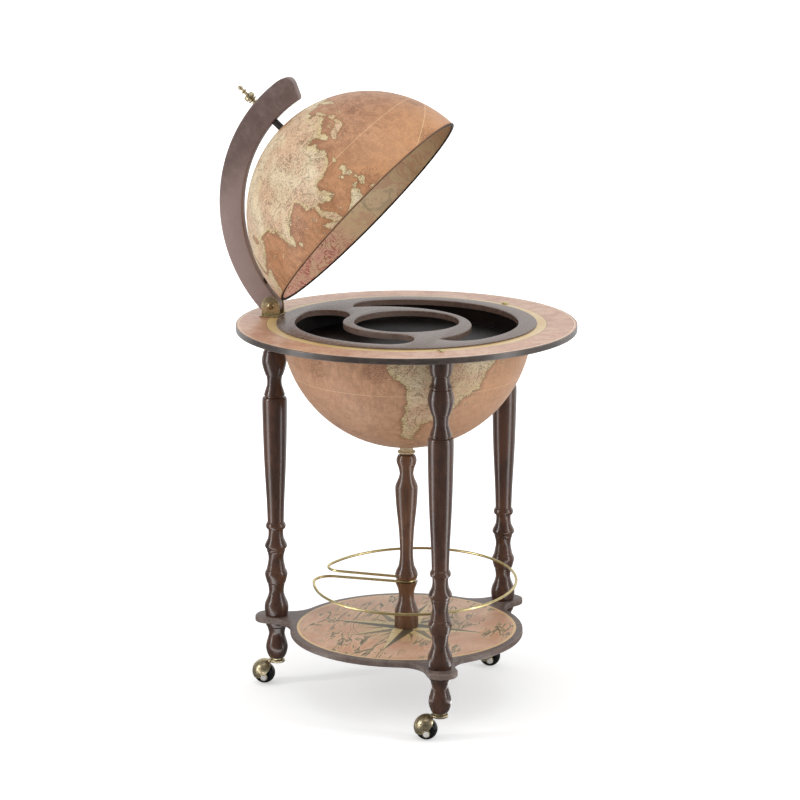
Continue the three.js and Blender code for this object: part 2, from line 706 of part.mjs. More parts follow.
// Bottle rail: one wire round the column's spigot, out to the back and round the shelf, its ends butted
// together at the front of the spigot
const loopRadius = railSpigotRadius + seatGap + wireRadius;
const cornerX = loopRadius + railCornerRadius;
const railCornerReach = Math.sqrt((railRadius - railCornerRadius) ** 2 - cornerX ** 2); // from the rail's own centre
const cornerY = railCornerReach - railForward;
const cornerAngle = Math.atan2(railCornerReach, cornerX);
const buttAngle = seatGap / 2 / loopRadius;
const railHalf = [
  ...arc(0, 0, loopRadius, -Math.PI / 2 + buttAngle, 0, loopSteps),
  ...bend(cornerX, cornerY, railCornerRadius, Math.PI, cornerAngle),
  ...bend(0, -railForward, railRadius, cornerAngle, -Math.PI / 2).slice(1),
];

// The wire runs from its butted end round the right half, then back round the left half. It is level at
// the spigot, and its round hangs askew, higher on the right.
const railPlaces = [...railHalf, ...railHalf.slice(0, -1).reverse().map((spot) => point(-spot.x, spot.y))];
class BentWire extends THREE.Curve {
  getPoint(share) {
    const along = share * (railPlaces.length - 1);
    const low = Math.min(Math.floor(along), railPlaces.length - 2);
    const spot = railPlaces[low].clone().lerp(railPlaces[low + 1], along - low);
    const away = Math.min(1, Math.max(0, (spot.length() - loopRadius) / (cornerY - loopRadius)));
    return new THREE.Vector3(spot.x, spot.y, railHeight + railSlopeShare * spot.x * away);
  }

  getPointAt(share) {
    return this.getPoint(share);
  }

  // At a bend the wire's section lies square to the mean of the two chords
  getTangentAt(share) {
    const index = Math.round(share * (railPlaces.length - 1));
    const before = railPlaces[Math.max(index - 1, 0)];
    const here = railPlaces[index];
    const after = railPlaces[Math.min(index + 1, railPlaces.length - 1)];
    const incoming = here.clone().sub(before).normalize();
    const outgoing = after.clone().sub(here).normalize();
    const mean = incoming.add(outgoing).normalize();
    return new THREE.Vector3(mean.x, mean.y, 0);
  }
}
const wireSection = new THREE.Shape(
  arc(0, 0, wireRadius, 0, 2 * Math.PI * (1 - 1 / railSides), railSides - 1),
);
const rail = new THREE.ExtrudeGeometry(wireSection, {
  steps: railPlaces.length - 1,
  extrudePath: new BentWire(),
});
piece(model, 'bottle_rail', rail, brightBrass);

// Hinge bracket: base plate and two round-topped cheeks, cut for the bolt and the screws
const plateBottom = ringTop + seatGap;
const plateTop = plateBottom + bracketPlate;
const pinHeight = ringTop + pinAboveRing;
const alongX = new THREE.Vector3(1, 0, 0);


// Stands a drawing up in the hinge's plane: its own axes run towards the hinge, up, and along the pin
const inHingePlane = new THREE.Matrix4().makeBasis(
  new THREE.Vector3(0, 1, 0),
  new THREE.Vector3(0, 0, 1),
  alongX,
);

function cheek(inner) {
  const shape = closedOutline(
    [point(-cheekHalfWidth, plateBottom - pinHeight), point(cheekHalfWidth, plateBottom - pinHeight)],
    bend(0, 0, cheekHalfWidth, 0, Math.PI),
  );
  return slab(shape, inner, cheekThickness).applyMatrix4(inHingePlane).translate(0, pinRadius, pinHeight);
}

function acrossHinge(geometry) {
  return aimed(geometry, alongX).translate(0, pinRadius, pinHeight);
}
const bracketBase = new THREE.BoxGeometry(2 * bracketHalfLength, 2 * cheekHalfWidth, bracketPlate)
  .translate(0, pinRadius, (plateBottom + plateTop) / 2);
const bracketBody = join([bracketBase, cheek(-cheekOuter), cheek(cheekInner)]);
const boltHole = acrossHinge(disc(
  hingeBoltRadius + seatGap,
  -cheekOuter - cutOverrun,
  cheekOuter + cutOverrun,
  turnedSides,
));
const bracketScrewHoles = bracketScrewPlaces.map((place) => disc(
  bracketScrewRadius + seatGap,
  plateBottom - cutOverrun,
  plateTop + cutOverrun,
  smallSides,
).translate(place.x, place.y, 0));
piece(model, 'hinge_bracket', cut(bracketBody, [boltHole, ...bracketScrewHoles]), antiqueBrass);
const bracketShank = bracketPlate + seatGap + seatGap + bracketScrewLength;
for (const place of bracketScrewPlaces) {
  const domed = screw(
    bracketScrewRadius,
    bracketShank,
    bracketScrewHeadRadius,
    bracketScrewHeadHeight,
    plateTop + seatGap,
    true,
  );
  piece(model, `bracket_screw_${place.name}`, domed, antiqueBrass).position.set(place.x, place.y, 0);
}

// Hinge bolt with a domed head on the left, its nut on the right, and a friction washer at each cheek
const boltHeadInner = cheekOuter + seatGap;
const boltEnd = cheekOuter + seatGap + hingeNutLength - seatGap;
const boltCrown = arc(0, 0, 1, 0, Math.PI / 2, 4).map((unit) => point(
  hingeBoltHeadRadius * unit.x,
  -boltHeadInner - hingeBoltHeadHeight * unit.y,
)).reverse();
const hingeBolt = lathe([
  ...boltCrown,
  point(hingeBoltRadius, -boltHeadInner),
  point(hingeBoltRadius, boltEnd),
  point(0, boltEnd),
], shaftSides);
piece(model, 'hinge_bolt', acrossHinge(hingeBolt), antiqueBrass);
const nutFace = cheekOuter + seatGap;
const hingeNut = hexNut(nutAcrossFlats, hingeBoltRadius + seatGap, nutFace, hingeNutLength);
piece(model, 'hinge_nut', acrossHinge(hingeNut), antiqueBrass);
const washerInner = armThickness / 2 + seatGap;
const frictionWashers = [
  { name: 'left', start: -washerInner - frictionWasherThickness },
  { name: 'right', start: washerInner },
];
for (const { name, start } of frictionWashers) {
  const plain = washer(
    frictionWasherRadius,
    hingeBoltRadius + seatGap,
    start,
    start + frictionWasherThickness,
    turnedSides,
  );
  piece(model, `hinge_washer_${name}`, acrossHinge(plain), blackPlastic);
}

// Lid: a group on the hinge pin, drawn closed and turned open. Its own origin is the pin.
const lid = new THREE.Group();
lid.position.set(0, pinRadius, pinHeight);
lid.rotation.x = -openAngle * degrees;
model.add(lid);
const centreY = -pinRadius; // globe's centre from the pin
const centreZ = -pinAboveRing;

// Meridian arm. Its foot is round about the pin, and ends in a flat that rests on the bracket's plate
// when the lid is open.
const armFootRadius = pinHeight - plateTop - swingGap;
const restNormal = point(Math.sin(openAngle * degrees), -Math.cos(openAngle * degrees));
const restAlong = point(-restNormal.y, restNormal.x);
const outerCentre = point(centreY - armOuterBack, centreZ + armOuterRise);

// Where a ray from a point meets a circle about a centre, on its far side
function meets(start, direction, centre, radius) {
  const away = start.clone().sub(centre);
  const half = away.dot(direction);
  const reach = -half + Math.sqrt(half * half - away.lengthSq() + radius * radius);
  return start.clone().addScaledVector(direction, reach);
}

const lidCentre = point(centreY, centreZ);
const restStart = restNormal.clone().multiplyScalar(armFootRadius);
const restEnd = meets(restStart, restAlong, outerCentre, armOuterRadius);
const innerTip = onCircle(lidCentre, armInnerRadius, armInnerEnd * degrees);
const endAlong = onCircle(axis, 1, armEndLean * degrees);
const outerTip = meets(innerTip, endAlong, outerCentre, armOuterRadius);
const outerAngle = (spot) => Math.atan2(spot.y - outerCentre.y, spot.x - outerCentre.x);
const outerTurnEnd = outerAngle(outerTip) - armOuterCorner / armOuterRadius;
const innerTurnEnd = armInnerEnd * degrees - armInnerCorner / armInnerRadius;
const outerRun = bend(outerCentre.x, outerCentre.y, armOuterRadius, outerAngle(restEnd), outerTurnEnd);
const innerRun = bend(centreY, centreZ, armInnerRadius, innerTurnEnd, armInnerStart * degrees);
const armShape = closedOutline(
  [restStart],
  outerRun,
  ease(outerRun.at(-1), outerTip, outerTip.clone().addScaledVector(endAlong, -armOuterCorner)),
  ease(innerTip.clone().addScaledVector(endAlong, armInnerCorner), innerTip, innerRun[0]),
  innerRun,
  bend(0, 0, armFootRadius, Math.PI, Math.atan2(restNormal.y, restNormal.x) + 2 * Math.PI),
);
const armBoard = slab(armShape, -armThickness / 2, armThickness, armEdgeRound).applyMatrix4(inHingePlane);
const pinBore = aimed(disc(
  hingeBoltRadius + runningGap,
  -armThickness / 2 - cutOverrun,
  armThickness / 2 + cutOverrun,
  shaftSides,
), alongX);

// Places on the globe's pole axis, and along a direction that leans up from the hinge side
function onPole(geometry) {
  return geometry.translate(0, centreY, centreZ);
}

function onRimFixing(geometry) {
  const lean = rimFixAngle * degrees;
  return onPole(aimed(geometry, new THREE.Vector3(0, Math.cos(lean), Math.sin(lean))));
}
const armPoleOuter = outerCentre.y - centreZ + Math.sqrt(armOuterRadius ** 2 - armOuterBack ** 2);
const poleBore = onPole(disc(
  finialStudRadius + seatGap,
  armInnerRadius - cutOverrun,
  armPoleOuter + cutOverrun,
  smallSides,
));
const rimScrewEnd = armInnerRadius + rimScrewInArm;
const rimBore = onRimFixing(disc(
  rimScrewRadius + seatGap,
  armInnerRadius - cutOverrun,
  rimScrewEnd + seatGap,
  smallSides,
));
piece(lid, 'meridian_arm', cut(armBoard, [pinBore, poleBore, rimBore]), armWood);

// Upper half of the globe with its edging
const rimBottom = trayTop - ringTop + seatGap; // above the globe's centre, as all heights from here on
const shellBottom = rimBottom + rimHeight + seatGap;
const lidInner = lidRadius - lidWall;
const lidBore = finialStudRadius + seatGap;
const rimAngle = (radius) => Math.asin(shellBottom / radius);
const shellBlank = latheRing([
  ...arc(0, 0, lidRadius, rimAngle(lidRadius), toPoleFlat(lidRadius), globeRings),
  point(lidBore, poleFlat(lidRadius)),
  point(lidBore, poleFlat(lidInner)),
  ...arc(0, 0, lidInner, toPoleFlat(lidInner), rimAngle(lidInner), innerRings),
], globeSides);
const shellScrewHole = onRimFixing(disc(
  rimScrewRadius + seatGap,
  lidInner - cutOverrun,
  lidRadius + cutOverrun,
  smallSides,
));
piece(lid, 'upper_hemisphere', cut(onPole(shellBlank), [shellScrewHole]), globePrint);
const edging = latheRing([
  point(lidInner - rimInside, rimBottom),
  point(lidRadius + rimProud, rimBottom),
  point(lidRadius + rimProud, rimBottom + rimHeight),
  point(lidInner - rimInside, rimBottom + rimHeight),
], globeSides);
piece(lid, 'lid_rim', onPole(edging), edgeTrim);

// Finial with its stud, the sleeve between arm and lid, and the nut and washer inside the lid
const poleWasherTop = poleFlat(lidInner) - seatGap;
const poleNutTop = poleWasherTop - poleWasherThickness - seatGap;
const studEnd = poleNutTop - poleNutThickness - seatGap;
const finialSeat = armPoleOuter + seatGap;
const finial = lathe([
  point(0, studEnd),
  point(finialStudRadius, studEnd),
  point(finialStudRadius, finialSeat),
  ...turning(finialShares, finialSeat, finialLength, finialRadius),
  point(0, finialSeat + finialLength),
], smallSides);
piece(lid, 'finial', onPole(finial), brightBrass);
const spacerTop = armInnerRadius - chordSag - seatGap;
const sleeve = washer(sleeveRadius, lidBore, poleFlat(lidRadius) + seatGap, spacerTop, smallSides);
piece(lid, 'pole_sleeve', onPole(sleeve), blackPlastic);
const poleWasher = washer(poleWasherRadius, lidBore, poleWasherTop - poleWasherThickness, poleWasherTop, turnedSides);
piece(lid, 'pole_washer', onPole(poleWasher), zincSteel);
const poleNut = hexNut(poleNutAcrossFlats, lidBore, poleNutTop - poleNutThickness, poleNutThickness);
piece(lid, 'pole_nut', onPole(poleNut), zincSteel);

// Spacer and screw that hold the lid's rim to the arm near the hinge
const spacer = washer(
  rimSpacerRadius,
  rimScrewRadius + seatGap,
  lidRadius + seatGap,
  spacerTop,
  smallSides,
);
piece(lid, 'rim_spacer', onRimFixing(spacer), blackPlastic);
const shellBand = (toPoleFlat(lidInner) - rimAngle(lidInner)) / innerRings;
const shellFlatIn = rimScrewHeadRadius * Math.tan(Math.PI / globeSides);
const rimHeadSeat = lidInner * Math.cos(shellBand / 2) - shellFlatIn - seatGap;
const rimScrew = lathe([
  point(0, rimHeadSeat - rimScrewHeadHeight),
  point(rimScrewHeadRadius, rimHeadSeat - rimScrewHeadHeight),
  point(rimScrewHeadRadius, rimHeadSeat),
  point(rimScrewRadius, rimHeadSeat),
  point(rimScrewRadius, rimScrewEnd),
  point(0, rimScrewEnd),
], smallSides);
piece(lid, 'rim_screw', onRimFixing(rimScrew), zincSteel);

// Ball casters, drawn with the swivel axis on Z and the ball trailing along +X, its capped side at +Y
const tilt = axleTilt * degrees;
const axle = new THREE.Vector3(0, Math.cos(tilt), -Math.sin(tilt));
const hoodMiddle = new THREE.Vector3(
  Math.cos(hoodLift * degrees) * Math.cos(hoodTurn * degrees),
  Math.cos(hoodLift * degrees) * Math.sin(hoodTurn * degrees),
  Math.sin(hoodLift * degrees),
);
const hornBottom = hornTop - hornThickness;
const stemTop = casterHeight + stemInFoot;
const hoodAtAxle = Math.sqrt(hoodOuter ** 2 - (hoodRise * Math.cos(tilt)) ** 2) - hoodRise * Math.sin(tilt);
const earFace = hoodAtAxle + earProud;
const earBack = hoodAtAxle - hoodWall - earInset;
const wheelBossFace = earBack - swingGap;
const capSeat = earFace + seatGap;

function onBall(geometry) {
  return geometry.translate(trail, 0, wheelRadius);
}

function inHood(geometry) {
  return geometry.translate(trail, 0, wheelRadius + hoodRise);
}

function alongAxle(geometry) {
  return onBall(aimed(geometry, axle));
}

// The hood is a cap of a thin ball, with an ear for the axle, a horn with an arm, and the swivel stem
function casterHood() {
  const edge = Math.PI / 2 - hoodHalfAngle * degrees;
  const shell = inHood(aimed(lathe([
    ...arc(0, 0, hoodInner, Math.PI / 2, edge, ballRings),
    ...arc(0, 0, hoodOuter, edge, Math.PI / 2, ballRings),
  ], ballSides), hoodMiddle));
  const ear = alongAxle(disc(earRadius, earBack, earFace, shaftSides));
  const horn = disc(hornRadius, hornBottom, hornTop, shaftSides);
  const armLength = trail - hornRadius / 2;
  const hornArm = new THREE.BoxGeometry(armLength, 2 * hornArmHalfWidth, hornThickness)
    .translate(armLength / 2, 0, (hornTop + hornBottom) / 2);
  const stem = disc(stemRadius, hornBottom, stemTop, shaftSides);
  const hoodSpace = inHood(new THREE.SphereGeometry(hoodInner, shaftSides, ballRings * 2));
  const axleHole = alongAxle(disc(axleRadius + seatGap, earBack - cutOverrun, earFace + cutOverrun, shaftSides));
  const arm = cut(join([horn, hornArm, stem]), [hoodSpace]);
  return cut(join([shell, ear, arm]), [axleHole]);
}

function casterWheel() {
  const bore = axleRadius + runningGap;
  const faceAngle = (face) => Math.asin(face / wheelRadius);
  return latheRing([
    point(bore, -wheelBack),
    ...arc(0, 0, wheelRadius, -faceAngle(wheelBack), faceAngle(wheelFront), ballRings),
    point(wheelBossRadius, wheelFront),
    point(wheelBossRadius, wheelBossFace),
    point(bore, wheelBossFace),
  ], shaftSides);
}
for (const place of legPlaces) {
  const spot = legSpot(place);
  const caster = new THREE.Group();
  caster.position.set(spot.x, spot.y, 0);
  caster.rotation.z = trailAngle * degrees;
  model.add(caster);
  const sleeveBore = stemRadius + runningGap;
  const plate = latheRing([
    point(sleeveBore, plateBase),
    point(casterPlateRadius, plateBase),
    point(casterPlateRadius, casterHeight),
    point(sleeveBore + sleeveWall, casterHeight),
    point(sleeveBore + sleeveWall, stemTop),
    point(sleeveBore, stemTop),
  ], shaftSides);
  piece(caster, `caster_plate_${place.name}`, plate, antiqueBrass);
  piece(caster, `caster_hood_${place.name}`, casterHood(), antiqueBrass);
  piece(caster, `caster_wheel_${place.name}`, alongAxle(casterWheel()), wheelPlastic);
  const headSeat = -wheelBack - swingGap;
  const axlePin = lathe([
    point(0, headSeat - axleHeadThickness),
    point(axleHeadRadius, headSeat - axleHeadThickness),
    point(axleHeadRadius, headSeat),
    point(axleRadius, headSeat),
    point(axleRadius, earFace),
    point(0, earFace),
  ], shaftSides);
  piece(caster, `caster_axle_${place.name}`, alongAxle(axlePin), zincSteel);
  const cap = lathe([
    point(0, capSeat),
    point(capRadius, capSeat),
    point(capRadius, capSeat + capThickness / 2),
    point(capRadius - capThickness / 2, capSeat + capThickness),
    point(0, capSeat + capThickness),
  ], smallSides);
  piece(caster, `caster_cap_${place.name}`, alongAxle(cap), capPlastic);
}

// The finished bar stands on the floor, centred in its own outline front to back
const reach = new THREE.Box3().setFromObject(model, true);
model.position.set(0, -(reach.min.y + reach.max.y) / 2, -reach.min.z);
model.updateMatrixWorld(true);

export default model;
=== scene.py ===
import math

import bmesh
import bpy
import numpy as np
from mathutils import Matrix, Vector, geometry


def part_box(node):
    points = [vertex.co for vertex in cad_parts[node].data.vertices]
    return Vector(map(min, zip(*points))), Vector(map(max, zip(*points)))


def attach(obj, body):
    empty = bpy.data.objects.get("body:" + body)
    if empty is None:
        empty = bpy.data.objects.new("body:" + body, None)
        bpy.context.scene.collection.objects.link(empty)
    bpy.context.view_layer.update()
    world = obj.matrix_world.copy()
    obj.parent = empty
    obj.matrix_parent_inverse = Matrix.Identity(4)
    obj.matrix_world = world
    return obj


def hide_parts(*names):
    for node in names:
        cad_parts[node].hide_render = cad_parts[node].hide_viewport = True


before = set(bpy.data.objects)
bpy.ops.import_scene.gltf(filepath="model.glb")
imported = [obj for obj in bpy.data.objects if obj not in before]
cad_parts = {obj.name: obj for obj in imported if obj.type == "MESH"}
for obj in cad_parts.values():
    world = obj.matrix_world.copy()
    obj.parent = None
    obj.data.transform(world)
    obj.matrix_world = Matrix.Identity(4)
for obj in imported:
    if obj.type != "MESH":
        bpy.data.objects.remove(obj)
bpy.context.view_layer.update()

# Shelf: a 10 mm board with a tongue under each leg, its edge rounded over and lacquered grey-brown.
# A round sheet printed like an old chart is glued on top, with a gold line round it. Three studs and the
# column's rod pass through the board.

ring_low, ring_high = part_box("ring_table")
globe_axis = (ring_low + ring_high) / 2
ring_top = 640.8
floor_drop = ring_top - ring_high.z * 1000
leg_circle = 230
leg_angles = {"back": 90, "front_left": 210, "front_right": 330}
shelf_top = 120.8
shelf_thickness = 10
shelf_radius = 195
print_radius = 184
tongue_half = 25
tongue_reach = 36
tongue_corner = 22
tongue_blend = 45
rod_hole = 4.3


def spot(x, y, z):
    """A place in the row frame, from millimetres off the globe's axis and above the floor."""
    return Matrix.Translation((globe_axis.x + x / 1000, globe_axis.y + y / 1000, (z - floor_drop) / 1000))


def polar(radius, angle):
    """The point at a distance from the middle in a direction."""
    return radius * math.cos(angle), radius * math.sin(angle)


def arc_run(radius, start, end, steps):
    """Points of an arc about the middle between two angles, in radians."""
    return [polar(radius, start + (end - start) * i / steps) for i in range(steps + 1)]


def swing(x, y, radius, start, end, sag=0.02):
    """Points of an arc about a place, close enough together to look round."""
    steps = max(2, math.ceil(abs(end - start) / (2 * math.acos(1 - sag / radius))))
    return [(x + across, y + along) for across, along in arc_run(radius, start, end, steps)]


def round_loop(x, y, radius):
    """A whole circle as an outline."""
    return swing(x, y, radius, 0, math.tau)[:-1]


def joined(*runs):
    """One closed outline from runs that share their ends."""
    points = [p for run in runs for p in run]
    return [p for i, p in enumerate(points) if math.dist(p, points[i - 1]) > 0.01]


def quarter(steps):
    """Angles from 0 to a right angle."""
    return [math.pi / 2 * i / steps for i in range(steps + 1)]


def rounded_edge(thickness, radius):
    """How far in a board's side stands at each height, with both its edges rounded over."""
    under = [(radius * (1 - math.sin(a)), radius * (1 - math.cos(a))) for a in quarter(4)]
    return under + [(inset, thickness - height) for inset, height in reversed(under)]


def board(loops, profiles):
    """Points and faces of a board from its outline and holes. The flat faces come last."""
    points, faces, ends = [], [], []
    for number, (loop, profile) in enumerate(zip(loops, profiles)):
        area = sum(a[0] * b[1] - a[1] * b[0] for a, b in zip(loop, loop[1:] + loop[:1]))
        if (area > 0) != (number == 0):
            loop = loop[::-1]
        inward = []
        for i, here in enumerate(loop):
            back = Vector(here) - Vector(loop[i - 1])
            ahead = Vector(loop[(i + 1) % len(loop)]) - Vector(here)
            middle = back.normalized() + ahead.normalized()
            middle.normalize()
            lean = max(0.3, middle.dot(ahead.normalized()))
            inward.append(Vector((-middle.y, middle.x)) / lean)
        rows = []
        for inset, height in profile:
            rows.append([len(points) + i for i in range(len(loop))])
            points += [(x + n.x * inset, y + n.y * inset, height) for (x, y), n in zip(loop, inward)]
        for low, high in zip(rows, rows[1:]):
            faces += [(low[i - 1], low[i], high[i], high[i - 1]) for i in range(len(loop))]
        ends.append((rows[0], rows[-1]))
    flats = []
    for side in (0, 1):
        rows = [end[side] for end in ends]
        flat = [i for row in rows for i in row]
        flats += [tuple(flat[i] for i in face) for face in
                  geometry.tessellate_polygon([[Vector(points[i]) for i in row] for row in rows])]
    return points, faces, flats


def shown(name, data):
    """An object in the scene for a mesh, a lamp or a camera."""
    thing = bpy.data.objects.new(name, data)
    bpy.context.scene.collection.objects.link(thing)
    return thing


def made(name, points, faces, flats=(), place=None, sharp=35):
    """A mesh object from millimetres, its faces turned outwards and smooth apart from the flat ones."""
    mesh = bpy.data.meshes.new(name)
    mesh.from_pydata([Vector(p) / 1000 for p in points], [], list(faces) + list(flats))
    work = bmesh.new()
    work.from_mesh(mesh)
    bmesh.ops.recalc_face_normals(work, faces=work.faces)
    work.to_mesh(mesh)
    work.free()
    mesh.polygons.foreach_set("use_smooth", [True] * len(faces) + [False] * len(flats))
    mesh.set_sharp_from_angle(angle=math.radians(sharp))
    thing = shown(name, mesh)
    if place is not None:
        thing.matrix_world = place
    return thing


def moved(shape, turn=Matrix.Identity(4), shift=(0, 0, 0)):
    """A shape, which is its points and faces, turned about the origin and then shifted."""
    return [turn @ Vector(p) + Vector(shift) for p in shape[0]], *shape[1:]


def fitted(name, shape, place, body, slot, node, *materials, sharp=35):
    """A piece in its place, with its body, the CAD node it stands for and its looks; slot is not used."""
    thing = made(name, *shape, place=place, sharp=sharp)
    for material in materials:
        thing.data.materials.append(material)
    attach(thing, body)
    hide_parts(node)
    return thing


def shade(red, green, blue):
    """A colour as a screen shows it, 0 to 255, as the light it stands for."""
    parts = [part / 255 for part in (red, green, blue)]
    return (*[p / 12.92 if p <= 0.04045 else ((p + 0.055) / 1.055) ** 2.4 for p in parts], 1)


def feed(node, feeds):
    """Sets a node's sockets, each by a number or by another node's output."""
    for key, value in feeds.items():
        if isinstance(value, bpy.types.NodeSocket):
            node.id_data.links.new(value, node.inputs[key])
        else:
            node.inputs[key].default_value = value


def put(tree, kind, feeds=None, **settings):
    """A node with its settings, and with its sockets fed."""
    node = tree.nodes.new(kind)
    for key, value in settings.items():
        setattr(node, key, value)
    feed(node, feeds or {})
    return node


def added(kind, feeds, **settings):
    """A node's outputs. The node joins the tree of the first value that another node gives."""
    if not isinstance(feeds, dict):
        feeds = dict(enumerate(feeds))
    tree = next(value.id_data for value in feeds.values() if isinstance(value, bpy.types.NodeSocket))
    return put(tree, kind, feeds, **settings).outputs


def reckon(operation, *values):
    return added("ShaderNodeMath", values, operation=operation)[0]


def times(first, second):
    return reckon("MULTIPLY", first, second)


def varied(value, spread, start):
    """A value drawn out by a spread, and raised by a start."""
    return reckon("MULTIPLY_ADD", value, spread, start)


def off_from(value, middle):
    """How far a value lies from a middle, on either side."""
    return reckon("ABSOLUTE", reckon("SUBTRACT", value, middle))


def steered(operation, *vectors):
    return added("ShaderNodeVectorMath", vectors, operation=operation)


def parts_of(vector):
    return added("ShaderNodeSeparateXYZ", [vector])


def from_axis(own):
    """Distance from the piece's own upright axis, and the parts of the place."""
    flat = parts_of(own)
    return steered("LENGTH", added("ShaderNodeCombineXYZ", [flat[0], flat[1]])[0])["Value"], flat


def between(value, low, high):
    """0 below low, 1 above high and smooth between; low above high turns it round."""
    return added("ShaderNodeMapRange", [value, low, high], interpolation_type="SMOOTHSTEP")[0]


def band(value, low, high, soft=0.0003):
    """1 between two distances and 0 outside them."""
    return times(between(value, low - soft, low + soft), between(value, high + soft, high - soft))


def blended(share, first, second):
    """From one colour to another; each is another node's output, or three numbers as a screen shows them."""
    first, second = (shade(*tone) if isinstance(tone, tuple) else tone for tone in (first, second))
    return added("ShaderNodeMix", {0: share, 6: first, 7: second}, data_type="RGBA")[2]


def coated(colour, *coats):
    """A colour with others laid over it, each where its mask says and at a share of its strength."""
    for mask, share, tone in coats:
        colour = blended(times(mask, share), colour, tone)
    return colour


def noise(vector, scale, detail, roughness, bend=0.0):
    """Noise with one scale, or with one for each axis."""
    if isinstance(scale, tuple):
        vector = added("ShaderNodeMapping", {"Vector": vector, "Scale": scale})[0]
        scale = 1
    feeds = {"Vector": vector, "Scale": scale, "Detail": detail, "Roughness": roughness, "Distortion": bend}
    return added("ShaderNodeTexNoise", feeds)[0]


def bumped(height, distance):
    return added("ShaderNodeBump", {"Height": height, "Distance": distance, "Strength": 1.0})[0]


def effect(name, takes, gives):
    """An empty node group that takes a vector and numbers: its tree, what it takes and its end."""
    tree = bpy.data.node_groups.new(name, "ShaderNodeTree")
    tree.interface.new_socket(name="Vector", in_out="INPUT", socket_type="NodeSocketVector")
    for way, labels in (("INPUT", takes), ("OUTPUT", gives)):
        for label in labels:
            tree.interface.new_socket(name=label, in_out=way, socket_type="NodeSocketFloat")
    return tree, tree.nodes.new("NodeGroupInput").outputs, tree.nodes.new("NodeGroupOutput")


def placed(group, *values):
    """A group placed in a material: the vector, and then its numbers in their order."""
    return added("ShaderNodeGroup", values, node_tree=group)


def emptied(holder):
    """The node tree of a new material or world, with nothing in it."""
    holder.use_nodes = True
    holder.node_tree.nodes.clear()
    return holder.node_tree


def begun(name):
    """A new material, the piece's own coordinates and the shader that ends it."""
    material = bpy.data.materials.new(name)
    tree = emptied(material)
    shader = tree.nodes.new("ShaderNodeBsdfPrincipled")
    put(tree, "ShaderNodeOutputMaterial", {0: shader.outputs[0]})
    return material, tree.nodes.new("ShaderNodeTexCoord").outputs["Object"], shader


# Paper: soft blotches, fine flecks and the fibres that break up a printed sheet's gloss
paper, takes, end = effect("paper", ["Blotch Scale", "Fleck Scale"], ["Blotch", "Fleck", "Fibre"])
feed(end, {
    "Blotch": between(noise(takes["Vector"], takes["Blotch Scale"], 4, 0.6, 0.4), 0.3, 0.7),
    "Fleck": between(noise(takes["Vector"], takes["Fleck Scale"], 3, 0.7), 0.56, 0.74),
    "Fibre": noise(takes["Vector"], (900, 2600, 1500), 2, 0.6),
})

# Edge wear: the sharp edges of a piece, rubbed unevenly
edge_wear, takes, end = effect("edge wear", ["Start"], ["Mask"])
pointed = edge_wear.nodes.new("ShaderNodeNewGeometry").outputs["Pointiness"]
worn = varied(noise(takes["Vector"], 60, 4, 0.65), 0.06, pointed)
feed(end, {"Mask": between(worn, takes["Start"], reckon("ADD", takes["Start"], 0.04))})

# Wood grain: long streaks along Z, with short dark pores in them
wood_grain, takes, end = effect("wood grain", ["Across", "Along"], ["Streak", "Pore"])
stretch = added("ShaderNodeCombineXYZ", [takes["Across"], takes["Across"], takes["Along"]])[0]
drawn_out = steered("MULTIPLY", takes["Vector"], stretch)[0]
feed(end, {
    "Streak": between(noise(drawn_out, 1, 5, 0.6, 0.8), 0.3, 0.7),
    "Pore": between(noise(drawn_out, 6, 2, 0.5), 0.6, 0.72),
})

# Wind rose star: points round the middle of a flat print, each half in shadow
star, takes, end = effect("wind rose star", ["Points", "Turn", "Tip", "Notch"], ["Mask", "Half"])
flat = parts_of(takes["Vector"])
around = reckon("ADD", reckon("ARCTAN2", flat[1], flat[0]), takes["Turn"])
away = reckon("SQRT", reckon("ADD", times(flat[0], flat[0]), times(flat[1], flat[1])))
share = reckon("DIVIDE", math.pi, takes["Points"])
folded = reckon("PINGPONG", around, share)
along = times(away, reckon("COSINE", folded))
beside = times(away, reckon("SINE", folded))
notch_along = times(takes["Notch"], reckon("COSINE", share))
notch_beside = times(takes["Notch"], reckon("SINE", share))
crossed = reckon("SUBTRACT", times(reckon("SUBTRACT", along, takes["Tip"]), notch_beside),
                 times(beside, reckon("SUBTRACT", notch_along, takes["Tip"])))
whole = reckon("FLOORED_MODULO", around, times(share, 2.0))
feed(end, {"Mask": reckon("LESS_THAN", crossed, 0.0), "Half": reckon("LESS_THAN", whole, share)})

shelf_finish, own, shader = begun("shelf")
out, flat = from_axis(own)
sheet = placed(paper, own, 16, 420)
crest = off_from(noise(own, (7, 30, 1), 3, 0.6, 1.8), 0.52)
patches = noise(own, (7, 12, 5), 3, 0.6)
printed = coated(
    blended(sheet["Blotch"], (204, 158, 130), (222, 182, 154)),
    (between(noise(own, (9, 16, 5), 5, 0.7, 1.2), 0.4, 0.65), 1, (206, 150, 116)),
    (times(between(crest, 0.12, 0.06), between(patches, 0.4, 0.52)), 0.6, (226, 192, 150)),
    (times(between(crest, 0.055, 0.025), between(patches, 0.42, 0.54)), 0.85, (134, 122, 92)),
    (times(between(crest, 0.02, 0.006), between(patches, 0.43, 0.52)), 0.75, (76, 68, 50)),
    (sheet["Fleck"], 0.4, (140, 100, 76)),
    (band(out, -1, 0.085, 0.012), 0.45, (196, 168, 120)),
)
for count, turn, tip, notch, light, dark in (
        (8, math.pi / 8, 0.076, 0.028, (201, 178, 130), (139, 110, 78)),
        (4, math.pi / 4, 0.112, 0.024, (208, 186, 134), (128, 112, 82)),
        (4, 0, 0.138, 0.026, (214, 192, 140), (96, 86, 66))):
    rose = placed(star, own, count, turn, tip, notch)
    printed = blended(rose["Mask"], printed, blended(rose["Half"], light, dark))
